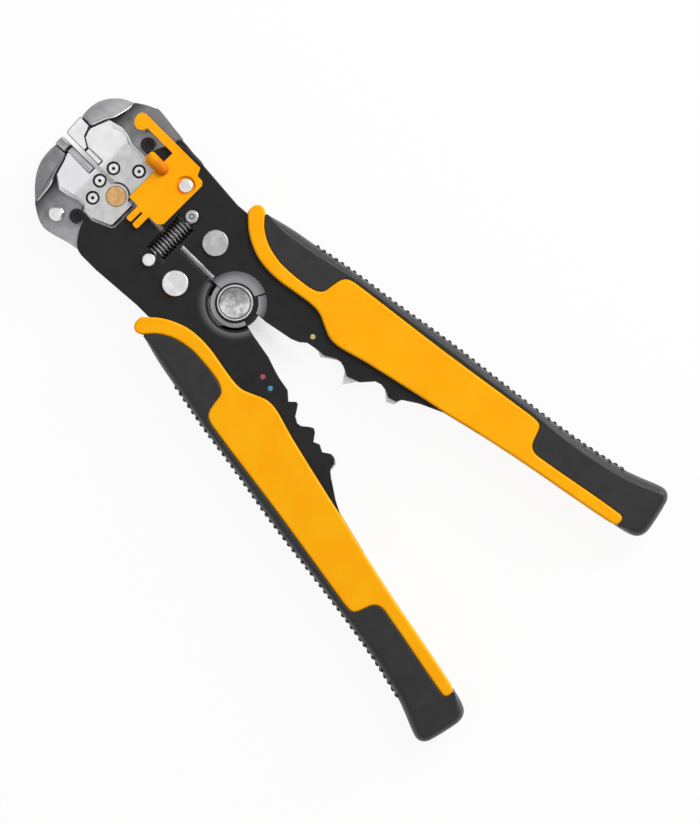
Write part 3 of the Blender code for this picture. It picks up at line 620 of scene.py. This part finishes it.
def spare(point, line):
    """How far a point lies from a line of straight stretches."""
    least = 1e9
    for a, b in zip(line, line[1:]):
        run = Vector((b[0] - a[0], b[1] - a[1]))
        reach = Vector((point[0] - a[0], point[1] - a[1]))
        share = min(max(reach.dot(run) / run.length_squared, 0), 1)
        least = min(least, (reach - run * share).length)
    return least


def part_way(line, away, rooms, share):
    """A line moved towards its offset by 1, point by point, by a share of the room there."""
    return [tuple(p + (d - p) * room * share for p, d in zip(point, far))
            for point, far, room in zip(line, away, rooms)]


def left_hand(points):
    """Points of the left grip, turned a little on its tang."""
    return [(x - LEFT_TURN * (y - LEFT_CENTRE), y + LEFT_TURN * x) for x, y in points]


def right_hand(points):
    """Points of the left grip brought over to the right tang, which leans in a little."""
    c, s = cos(radians(HANDLE_LEAN)), sin(radians(HANDLE_LEAN))
    over = [(-x * c - y * s, -x * s + y * c) for x, y in points]
    return [(x - RIGHT_TURN * (y - RIGHT_CENTRE), y * RIGHT_LENGTH + RIGHT_TURN * x) for x, y in over]


def as_drawn(points):
    return list(points)


def mirrored(points):
    return [(-x, y) for x, y in points]


# Return spring: close coil across the levers with a hook round each post
WIRE = 0.78
WIRE_SIDES = 3
COIL_RADIUS = 2.75
COIL_LENGTH = 12.6
COIL_TURNS = 11
COIL_MIDDLE = (27.0, 11.2)
TURN_STEPS = 24
HOOK_RADIUS = 1.75
HOOK_STEPS = 18
HOOK_Z = 13.6
LEAD_OUT = 0.7
LEAD_DOWN = 0.9
POST_X = 9.0


def make_spring():
    steps = COIL_TURNS * TURN_STEPS
    coil = []
    for i in range(steps + 1):
        angle = 2 * pi * COIL_TURNS * i / steps
        coil.append((-COIL_LENGTH / 2 + COIL_LENGTH * i / steps, COIL_MIDDLE[0] + COIL_RADIUS * sin(angle),
                     COIL_MIDDLE[1] + COIL_RADIUS * cos(angle)))
    left = arc((-POST_X, COIL_MIDDLE[0]), HOOK_RADIUS, 60, 300, HOOK_STEPS)
    right = arc((POST_X, COIL_MIDDLE[0]), HOOK_RADIUS, -120, 120, HOOK_STEPS)
    lead = COIL_LENGTH / 2 + LEAD_OUT
    left.append((-lead, COIL_MIDDLE[0] - LEAD_DOWN))
    right.insert(0, (lead, COIL_MIDDLE[0] - LEAD_DOWN))
    path = [(x, y, HOOK_Z) for x, y in left] + coil + [(x, y, HOOK_Z) for x, y in right]
    obj = wire(path, WIRE, WIRE_SIDES)
    obj.name = "coil_spring"
    obj.data.materials.clear()
    obj.data.materials.append(SPRING_WIRE)
    bpy.ops.object.shade_smooth_by_angle(angle=radians(60))
    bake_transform(obj)
    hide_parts("return_spring")


make_spring()


# Grips: a yellow core with a pocket for the tang, and a rubber moulding that wraps the handle's outer side
GRIP_TOP = [(-21.5, 16.2), (-22.4, 16.9), (-24.6, 16.9), (-25.8, 16.1), (-26.3, 14.9), (-26.0, 13.7)]
GRIP_OUTER = [(-25.1, 12.6), (-22.3, 9.9), (-19.9, 5.7), (-18.8, 1.1), (-18.6, -2.8), (-19.4, -10.5),
              (-20.3, -13.8), (-21.9, -15.8), (-25.2, -16.4), (-28.0, -17.0), (-29.6, -18.4), (-30.5, -21.4),
              (-35.2, -52.9), (-40.2, -82.9), (-40.7, -86.6), (-40.4, -88.8), (-38.5, -90.0), (-35.3, -91.3),
              (-33.9, -92.9), (-33.7, -95.3), (-39.3, -124.4), (-38.8, -125.9), (-36.8, -126.2),
              (-35.7, -125.0)]
GRIP_INNER = [(-29.7, -95.7), (-27.5, -85.7), (-25.1, -75.7), (-22.9, -67.2), (-21.3, -60.0), (-16.4, -40.0),
              (-14.7, -34.3), (-13.7, -30.5), (-13.6, -27.0), (-14.9, -23.5), (-16.5, -19.5), (-16.6, -16.0),
              (-15.7, -10.5), (-14.6, -4.3), (-14.4, 1.1), (-15.2, 6.1), (-17.9, 11.9)]
TANG_POCKET = [(-21.3, 20.0), (-21.3, 15.5), (-19.7, 9.9), (-17.6, 5.0), (-17.0, 0.0), (-17.2, -6.0),
               (-18.2, -12.0), (-20.8, -18.0), (-24.3, -35.0), (-28.8, -60.0), (-31.6, -78.0), (-26.8, -79.8),
               (-18.0, -70.0), (-4.0, -30.0), (-4.0, 15.0), (-12.0, 21.0)]
RUBBER_OUTER = [(-25.8, 12.4), (-28.0, 4.5), (-29.9, -5.0), (-32.7, -19.0), (-34.9, -33.0), (-38.5, -53.0),
                (-41.5, -74.3), (-43.6, -88.5), (-46.2, -102.9), (-49.3, -115.7), (-51.0, -120.4),
                (-53.6, -126.6), (-54.1, -128.8), (-53.4, -130.6), (-51.6, -131.8), (-43.6, -133.8),
                (-40.6, -134.0), (-38.4, -132.9), (-37.1, -130.4), (-36.2, -126.8)]
FLANK_POINTS = 12
FLANK_STEPS = 4
LOOP_STEPS = 4
CORE_ROUND = 0.6
CORE_STEPS = 3
SLEEVE_WALL = 1.8
GRIP_ROUND = 5.0
ROUND_STEPS = 9
SIDE_ROUND = 2.7
END_ROUND = 2.4
END_POINTS = 3
SEAT_GAP = 0.03
SEAT_ROUND = 0.35
SEAT_WALL = 0.9
LEAST_ROOM = 0.1
ROOM_PASSES = 8


def core_loop():
    """The yellow core's outline, and the stretch of it that the rubber lies against."""
    points = GRIP_TOP + GRIP_OUTER + GRIP_INNER
    count = len(points)
    loop = smooth(points[-2:] + points + points[:2], LOOP_STEPS)
    loop = loop[2 * LOOP_STEPS:(2 + count) * LOOP_STEPS]
    start = len(GRIP_TOP) * LOOP_STEPS
    return loop, loop[start:start + (len(GRIP_OUTER) - 2) * LOOP_STEPS + 1]


def rounded_levels(rounding, steps):
    """Heights up a rounded grip, each with its rise from the nearer face and its share drawn in."""
    levels = []
    for step in range(2 * steps + 2):
        upper = step > steps
        angle = radians(90 * (2 * steps + 1 - step if upper else step) / steps)
        rise = rounding * (1 - cos(angle))
        levels.append((GRIP_THICK - rise if upper else rise, rise, 1 - sin(angle)))
    return levels


def make_core(side, place, lever):
    """Rounded yellow moulding with a pocket for the lever's tang."""
    loop = core_loop()[0]
    obj = lofted([(place(drawn_in(loop, CORE_ROUND * share)), z)
                  for z, _, share in rounded_levels(CORE_ROUND, CORE_STEPS)])
    bpy.ops.object.mode_set(mode="OBJECT")
    tool = lofted([(place(TANG_POCKET), SLEEVE_WALL), (place(TANG_POCKET), GRIP_THICK - SLEEVE_WALL)])
    cut_away(obj, tool)
    done(obj, side + "_yellow_grip", YELLOW, lever, 40)
    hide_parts(side + "_grip_core")


def flank_rooms(flank, seat):
    """How far each point of the rubber's outline can be drawn in, evened out along it."""
    rooms = []
    for i, point in enumerate(flank):
        room = max(spare(point, seat) - SEAT_WALL, LEAST_ROOM)
        if min(i, len(flank) - 1 - i) < END_POINTS or i > FLANK_STEPS * (FLANK_POINTS - 1):
            room = min(room, END_ROUND)
        rooms.append(min(room, SIDE_ROUND))
    for _ in range(ROOM_PASSES):
        rooms = [min(r, (rooms[max(i - 1, 0)] + r + rooms[min(i + 1, len(rooms) - 1)]) / 3)
                 for i, r in enumerate(rooms)]
    return rooms


def make_rubber(side, place, lever):
    seat = core_loop()[1]
    flank = smooth(RUBBER_OUTER, FLANK_STEPS)
    drawn = offset(flank, 1)
    rooms = flank_rooms(flank, seat)
    layers = []
    for z, rise, share in rounded_levels(GRIP_ROUND, ROUND_STEPS):
        lip = SEAT_GAP + max(SEAT_ROUND - rise, 0)
        layers.append((place(part_way(flank, drawn, rooms, share) + offset(seat, -lip)[::-1]), z))
    obj = lofted(layers)
    done(obj, side + "_rubber_grip", RUBBER, lever, 50)
    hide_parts(side + "_grip_rubber")


make_core("left", left_hand, "left_lever")
make_core("right", right_hand, "right_lever")
make_rubber("left", left_hand, "left_lever")
make_rubber("right", right_hand, "right_lever")


# Tread on the rubber's outer side: short slanted studs in staggered rows, each a height, a shift and a slant
TREAD_PITCH = 4.4
TREAD_START = -5.5
TREAD_END = -117.0
TREAD_STEPS = 6
STUD_LENGTH = 1.5
STUD_WIDTH = 1.05
STUD_RISE = 0.5
STUD_SINK = 0.4
STUD_DRAW = 0.5
STUD_SLANT = 0.6
STUD_EDGE = 0.12
STUD_ROWS = [(2.3, 0.5, 1), (4.2, 0.0, -1), (6.1, 0.5, 1), (8.9, 0.5, -1), (10.8, 0.0, 1), (12.7, 0.5, -1)]


def flank_section(z):
    """How far the rubber's side stands in at a height, and the outward normal there."""
    a = 0.0
    if z > GRIP_THICK - GRIP_ROUND:
        a = (z - GRIP_THICK + GRIP_ROUND) / GRIP_ROUND
    elif z < GRIP_ROUND:
        a = (z - GRIP_ROUND) / GRIP_ROUND
    level = (1 - a * a) ** 0.5
    across, up = level * GRIP_ROUND, a * SIDE_ROUND
    size = hypot(across, up)
    return SIDE_ROUND * (level - 1), across / size, up / size


def make_stud(x, y, tx, ty, z, slant, place):
    """One stud: a small block, its top drawn in, set on the side with its foot sunk."""
    nx, ny = ty, -tx
    inset, level, tilt = flank_section(z)
    deselect()
    bpy.ops.mesh.primitive_cube_add(size=1)
    stud = bpy.context.active_object
    for vertex in stud.data.vertices:
        top = vertex.co.z > 0
        draw = STUD_DRAW if top else 1.0
        rise = STUD_RISE if top else -STUD_SINK
        up = vertex.co.y * STUD_LENGTH * draw
        along = vertex.co.x * STUD_WIDTH * draw + slant * STUD_SLANT * up
        out = inset + rise * level - up * tilt
        px, py = place([(x + tx * along + nx * out, y + ty * along + ny * out)])[0]
        vertex.co = Vector((px, py, z + rise * tilt + up * level)) * MM
    return stud


def make_tread(side, place, lever):
    flank = smooth(RUBBER_OUTER[:FLANK_POINTS], TREAD_STEPS)
    made = []
    for z, shift, slant in STUD_ROWS:
        run = shift * TREAD_PITCH
        for a, b in zip(flank, flank[1:]):
            length = hypot(b[0] - a[0], b[1] - a[1])
            if not TREAD_END < (a[1] + b[1]) / 2 < TREAD_START:
                continue
            tx, ty = (b[0] - a[0]) / length, (b[1] - a[1]) / length
            while run <= length:
                made.append(make_stud(a[0] + tx * run, a[1] + ty * run, tx, ty, z, slant, place))
                run += TREAD_PITCH
            run -= length
    obj = joined(made)
    edit(obj, "EDGE")
    bpy.ops.mesh.select_all(action="SELECT")
    bpy.ops.mesh.bevel(offset=STUD_EDGE * MM, segments=1, affect="EDGES")
    faces_out()
    done(obj, side + "_grip_tread", TREAD, lever, 30)


make_tread("left", left_hand, "left_lever")
make_tread("right", right_hand, "right_lever")


# Turned bands round the main rivet, where the plates are faced for the hub
BAND_SINK = 0.2
BAND_EDGE = 0.02
BAND_STEP = 4


def make_band(name, lever, finish, inner, outer, start, end, crown):
    """A shallow ring segment: a section drawn across the band and spun round the rivet."""
    deselect()
    bpy.ops.mesh.primitive_circle_add(vertices=6, radius=MM, fill_type="NOTHING")
    obj = bpy.context.active_object
    width = outer - inner
    section = [(inner, -BAND_SINK), (inner, crown * 0.5), (inner + width * 0.3, crown),
               (inner + width * 0.7, crown * 0.8), (outer, BAND_EDGE), (outer, -BAND_SINK)]
    turn = radians(start)
    for vertex, (radius, rise) in zip(obj.data.vertices, section):
        vertex.co = Vector((radius * cos(turn), radius * sin(turn), PLATE_TOP + rise)) * MM
    edit(obj)
    bpy.ops.mesh.select_all(action="SELECT")
    bpy.ops.mesh.edge_face_add()
    bpy.ops.mesh.spin(steps=max(int((end - start) / BAND_STEP), 2), angle=radians(start - end),
                      center=(0, 0, 0), axis=(0, 0, 1))
    bpy.ops.mesh.select_all(action="SELECT")
    bpy.ops.mesh.remove_doubles(threshold=1e-6)
    bpy.ops.mesh.normals_make_consistent(inside=False)
    done(obj, name, finish, lever, 40)


make_band("left_hub_band", "left_lever", LEFT_HUB, 8.9, 11.3, 97, 252, 0.22)
make_band("right_hub_ring", "right_lever", RIGHT_HUB, 6.0, 7.3, 92, 252, 0.22)
make_band("right_hub_band", "right_lever", RIGHT_HUB, 6.0, 9.4, -26, 90, 0.25)
make_band("right_hub_crescent", "right_lever", RIGHT_HUB, 6.9, 9.4, -72, -30, 0.2)


# Bright rib of the left blade holder, seen down the seam between the levers
RIB_LOW = (-0.4, 9.0, 7.0)
RIB_HIGH = (1.1, 23.3, 9.9)
RIB_EDGE = 0.3


def make_seam_rib():
    obj = box_between(RIB_LOW, RIB_HIGH)
    edit(obj, "EDGE")
    bpy.ops.object.mode_set(mode="OBJECT")
    for line in obj.data.edges:
        line.select = all(obj.data.vertices[end].co.z > (RIB_HIGH[2] - 0.1) * MM for end in line.vertices)
    bpy.ops.object.mode_set(mode="EDIT")
    bpy.ops.mesh.bevel(offset=RIB_EDGE * MM, segments=3, affect="EDGES")
    done(obj, "seam_rib", BLASTED, "left_carrier")


make_seam_rib()


# Small dark and bright parts: dark rings and plugs of painted shade in the screw recesses and sockets,
# collars, dark wells of painted shade under the spring, a dark block of painted shade in the seam, and the
# seam's strip
SCREWS = {"left": [(-7.8, 51.8), (-2.75, 53.9)], "right": [(2.7, 53.6), (7.4, 47.6)]}
SCREW_FACE = 12.1
SCREW_RING = (1.55, 2.14)
SCREW_RING_DEPTH = 0.7
SCREW_SOCKET = 0.52
SCREW_SOCKET_DEPTH = 0.25
POST_SOCKET = (0.45, 0.85, 14.6, 15.03, 24)
PIN = (-2.6, 47.2)
PIN_COLLAR = (3.12, 3.42, 11.8, 12.58, 40)
WELL_INNER = 0.05
WELL_OUTER = 7.4
WELL_Y = (22.9, 30.9)
WELL_Z = (7.45, 7.9)
BROKEN_EDGE = 0.1
LEFT_DOTS = [(-9.6, -21.2), (-10.5, -25.2)]
RIGHT_DOT = (9.2, -23.3)
DOT_COLLAR = (0.8, 1.14, 12.3, 12.86, 20)

for side, spots in SCREWS.items():
    rings = []
    for spot in spots:
        # dark rings and plugs of painted shade in the countersinks and sockets
        rings.append(make_washer(spot, *SCREW_RING, SCREW_FACE - SCREW_RING_DEPTH, SCREW_FACE))
        rings.append(make_disc(spot, SCREW_SOCKET, SCREW_FACE - SCREW_SOCKET_DEPTH, SCREW_FACE, 6))
    done(joined(rings), side + "_screw_recess_shade", OXIDE, side + "_carrier")
# a dark ring of painted shade in the right post's socket
socket = make_washer((POST_X, COIL_MIDDLE[0]), *POST_SOCKET)
done(socket, "right_post_socket_shade", POCKET, "right_lever")
done(make_washer(PIN, *PIN_COLLAR), "pin_collar", BLASTED, "left_carrier")
for side, start, end in (("left", -WELL_OUTER, -WELL_INNER), ("right", WELL_INNER, WELL_OUTER)):
    # dark plates of painted shade under the coil
    well = make_block((start, WELL_Y[0], WELL_Z[0]), (end, WELL_Y[1], WELL_Z[1]), BROKEN_EDGE)
    done(well, side + "_spring_shade_well", POCKET, side + "_lever")
# a dark block of painted shade in the seam
seam_shade = make_block((-0.7, 7.6, 10.0), (0.7, 9.4, 11.6), BROKEN_EDGE)
done(seam_shade, "seam_shade_block", OXIDE, "left_lever")
done(joined([make_washer(spot, *DOT_COLLAR) for spot in LEFT_DOTS]), "left_dot_collars", OXIDE, "left_lever")
done(make_washer(RIGHT_DOT, *DOT_COLLAR), "right_dot_collar", OXIDE, "right_lever")
strip = make_block((0.55, 9.8, 12.8), (1.2, 22.9, 12.98), 0.08)
done(strip, "seam_strip", BLADE, "right_lever")


# Jaws: low webs from the solids, with domed caps and a bright wire along each crease that is a painted
# highlight
LEFT_BROW = [(-4.4, 71.2), (-7.5, 71.3), (-11.0, 70.8), (-14.5, 69.2), (-18.0, 66.4), (-20.9, 63.1)]
RIGHT_BROW = [(-6.9, 71.6), (-9.0, 71.8), (-12.0, 71.6), (-14.5, 70.8), (-16.6, 69.5), (-19.2, 66.8),
              (-20.9, 63.1)]
LEFT_CREASE = [(-20.9, 63.1), (-18.5, 63.1), (-14.0, 63.4), (-10.4, 64.9), (-6.0, 66.1), (-4.4, 66.9)]
RIGHT_CREASE = [(-20.9, 63.1), (-17.5, 63.3), (-13.6, 64.2), (-12.0, 65.3), (-8.4, 66.8), (-6.9, 67.3)]
CREASE_STEPS = 5
CAP_FOOT = 4.45
CAP_FOOT_EDGE = 0.5
CAP_SHOULDER = 7.4
CAP_TOP = 12.88
CAP_STEPS = 10
CAP_REACH = 4.6
CAP_SEAT = 9.8
CAP_LEVEL = 13.0
CAP_FALL = 7.9
CAP_DROP = 0.94
CREASE_BEVEL = 0.3
GLINT_WIRE = 0.42
GLINT_SINK = 0.22
GLINT_START = 2
WEB_SIDE = -34.0
WEB_END = 78.0
SHOULDER = [(19.6, 57.0), (23.9, 57.4), (24.1, 55.0), (23.5, 50.0), (23.0, 45.6), (22.4, 45.0), (20.4, 45.0)]
PLATE_EDGE = [(20.2, 35.0), (22.2, 35.2), (22.6, 40.0), (23.0, 44.6), (22.6, 45.8), (21.6, 46.2),
              (20.2, 45.0)]
EDGE_STEPS = 3
HOOK_EYE = (1.75, 9.9, 12.2, 28)


def settled(x, z):
    """Height on a cap, let down towards its outer end."""
    share = min(1.0, max(0.0, (abs(x) - CAP_LEVEL) / CAP_FALL))
    return min(z, CAP_SEAT + (z - CAP_SEAT) * (1 - CAP_DROP * share * share * (3 - 2 * share)))


def make_cap(side, place, crease, brow, glint_end):
    """A dome between the brow and the crease, with a bright wire along part of the crease as a painted
    highlight.
    """
    crease = smooth(crease, CREASE_STEPS)
    brow = smooth(brow, CREASE_STEPS)
    drawn = offset(brow, 1)
    reach = [min(CAP_REACH, 0.8 * spare(point, crease)) for point in brow]
    levels = [(CAP_FOOT, 0.1, 0), (CAP_FOOT + CAP_FOOT_EDGE, 0, 0)]
    for i in range(CAP_STEPS + 1):
        turn = radians(90 * i / CAP_STEPS)
        levels.append((CAP_SHOULDER + (CAP_TOP - CAP_SHOULDER) * sin(turn), 1 - cos(turn),
                       CREASE_BEVEL if i == CAP_STEPS else 0))
    layers = []
    for z, share, bevel in levels:
        rim = part_way(brow, drawn, reach, share)
        fold = offset(crease, bevel)
        fold[0] = rim[-1]
        layers.append((place(fold + rim[:-1]), z))
    obj = lofted(layers)
    bpy.ops.object.mode_set(mode="OBJECT")
    for vertex in obj.data.vertices:
        vertex.co.z = settled(vertex.co.x / MM, vertex.co.z / MM) * MM
    done(obj, side + "_jaw_cap", LINISHED, side + "_jaw", 65)
    # a bright wire along the crease: a painted highlight
    line = place(offset(crease, 0.02)[GLINT_START:glint_end])
    lip = wire([(x, y, settled(x, CAP_TOP) - GLINT_SINK) for x, y in line], GLINT_WIRE, 2)
    done(lip, side + "_jaw_crease_glint", NICKEL, side + "_jaw", 60)


def make_web(side, place, crease):
    """The low part of a jaw: its solid with the cap cut away along the crease."""
    obj = copy_of(side + "_jaw")
    room = [(WEB_SIDE, crease[0][1])] + crease + [(crease[-1][0], WEB_END), (WEB_SIDE, WEB_END)]
    tool = lofted([(place(room), 1.0), (place(room), 16.0)])
    cut_away(obj, tool)
    done(obj, side + "_jaw_web", ZINC, side + "_jaw")
    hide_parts(side + "_jaw")


make_web("left", as_drawn, LEFT_CREASE)
make_web("right", mirrored, RIGHT_CREASE)
make_cap("left", as_drawn, LEFT_CREASE, LEFT_BROW, 13)
make_cap("right", mirrored, RIGHT_CREASE, RIGHT_BROW, 24)
shoulder = smooth(SHOULDER, EDGE_STEPS)
shoulder_layers = [(drawn_in(shoulder, 0.3), 7.3), (shoulder, 7.6), (shoulder, 9.3),
                   (drawn_in(shoulder, 0.4), 9.78)]
done(lofted(shoulder_layers), "right_jaw_shoulder", ZINC, "right_jaw", 40)
plate_edge = smooth(PLATE_EDGE, EDGE_STEPS)
edge_layers = [(plate_edge, 9.9), (plate_edge, 12.4), (drawn_in(plate_edge, 0.3), 12.7)]
done(lofted(edge_layers), "right_plate_edge", OXIDE, "right_lever", 40)
done(make_disc((-14.6, 51.3), *HOOK_EYE), "left_hook_eye", OXIDE, "left_lever")
done(make_disc((14.9, 51.3), *HOOK_EYE), "right_hook_eye", OXIDE, "right_lever")


# Wire stop: the solid below, with a rounded thumb ridge on it
STOP_TOP = 14.97
RIDGE_ROUND = 1.9
RIDGE = arc((12.65, 46.9), RIDGE_ROUND, 0, 180, 14) + arc((12.65, 43.0), RIDGE_ROUND, 180, 360, 14)
RIDGE_FOOT = 14.9
RIDGE_RISE = 2.2
RIDGE_DRAW = 1.6
RIDGE_STEPS = 9


def make_stop():
    obj = copy_of("wire_stop")
    cut_away(obj, make_block((-20, 20, STOP_TOP), (40, 70, 24), BROKEN_EDGE))
    done(obj, "stop_plate", AMBER, "stop")
    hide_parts("wire_stop")
    layers = []
    for i in range(RIDGE_STEPS + 1):
        turn = radians(90 * i / RIDGE_STEPS)
        layers.append((drawn_in(RIDGE, RIDGE_DRAW * (1 - cos(turn))), RIDGE_FOOT + RIDGE_RISE * sin(turn)))
    done(lofted(layers), "thumb_ridge", THUMB, "stop", 50)


make_stop()


# Floor, light and camera
FLOOR_SIZE = 3.0
FLOOR_GLOW = 0.92
FLOOR_SHADE = (0.06, 0.15)
SHADE_REACH = 25
SKY_LEVEL = 0.38
LENS = 150.0
SENSOR = 36.0
VIEW_HEIGHT = 244.2
VIEW_CENTRE = (1.22, -46.77, 10.0)
VIEW_TURN = -45


def seen_white(tree):
    """1 for what the camera sees, straight on or in a reflection, and 0 for what only gives light."""
    path = add(tree, "LightPath").outputs
    seen = add(tree, "Math", {0: path["Is Camera Ray"], 1: path["Is Glossy Ray"]}, operation="MAXIMUM")
    wires = {0: seen.outputs[0], 1: path["Is Transmission Ray"]}
    return add(tree, "Math", wires, operation="MAXIMUM").outputs[0]


def make_stage():
    deselect()
    bpy.ops.mesh.primitive_plane_add(size=FLOOR_SIZE)
    floor = bpy.context.active_object
    floor.name = "floor"
    material, tree, shader = new_finish("pale paper", Roughness=0.9, Specular_IOR_Level=0.0)
    shader.inputs["Base Color"].default_value = linear("f4f4f4")
    depth = add(tree, "AmbientOcclusion", {"Distance": SHADE_REACH * MM}, samples=8)
    clear = ramp(tree, depth.outputs["AO"], *FLOOR_SHADE, 0.0, FLOOR_GLOW)
    share = add(tree, "Math", {0: seen_white(tree), 1: clear}, operation="MULTIPLY")
    glow = add(tree, "Emission", {"Color": (1, 1, 1, 1), "Strength": 1.0})
    both = add(tree, "MixShader", {0: share.outputs[0], 1: shader.outputs[0], 2: glow.outputs[0]})
    tree.links.new(both.outputs[0], tree.nodes["Material Output"].inputs["Surface"])
    floor.data.materials.append(material)

    world = bpy.data.worlds.new("studio")
    bpy.context.scene.world = world
    world.use_nodes = True
    tree = world.node_tree
    sky = tree.nodes["Background"]
    sky.inputs["Color"].default_value = (1, 1, 1, 1)
    tree.links.new(ramp(tree, seen_white(tree), 0.0, 1.0, SKY_LEVEL, 1.0), sky.inputs["Strength"])


def make_lamp(name, place, target, size, power):
    lamp = bpy.data.lights.new(name, "AREA")
    lamp.shape = "DISK"
    lamp.size = size
    lamp.energy = power
    obj = bpy.data.objects.new(name, lamp)
    obj.location = place
    obj.rotation_mode = "QUATERNION"
    obj.rotation_quaternion = (Vector(target) - Vector(place)).to_track_quat("-Z", "Y")
    bpy.context.scene.collection.objects.link(obj)


def make_camera():
    """A camera that looks straight down, with the jaws to the upper left."""
    camera = bpy.data.objects.new("camera", bpy.data.cameras.new("camera"))
    camera.data.lens = LENS
    camera.data.sensor_width = SENSOR
    x, y, z = VIEW_CENTRE
    camera.location = Vector((x, y, z + VIEW_HEIGHT * LENS / SENSOR)) * MM
    camera.rotation_euler = (0, 0, radians(VIEW_TURN))
    bpy.context.scene.collection.objects.link(camera)
    bpy.context.scene.camera = camera


make_stage()
make_lamp("key", (0.7, 0.1, 0.85), (0, -0.03, 0), 0.5, 6.2)
make_lamp("side", (0.95, -0.25, 0.22), (0, -0.05, 0), 0.6, 7.0)
make_lamp("fill", (-0.5, 0.5, 0.9), (0, -0.03, 0), 0.6, 1.3)
make_camera()
bpy.context.scene.view_settings.view_transform = "Standard"
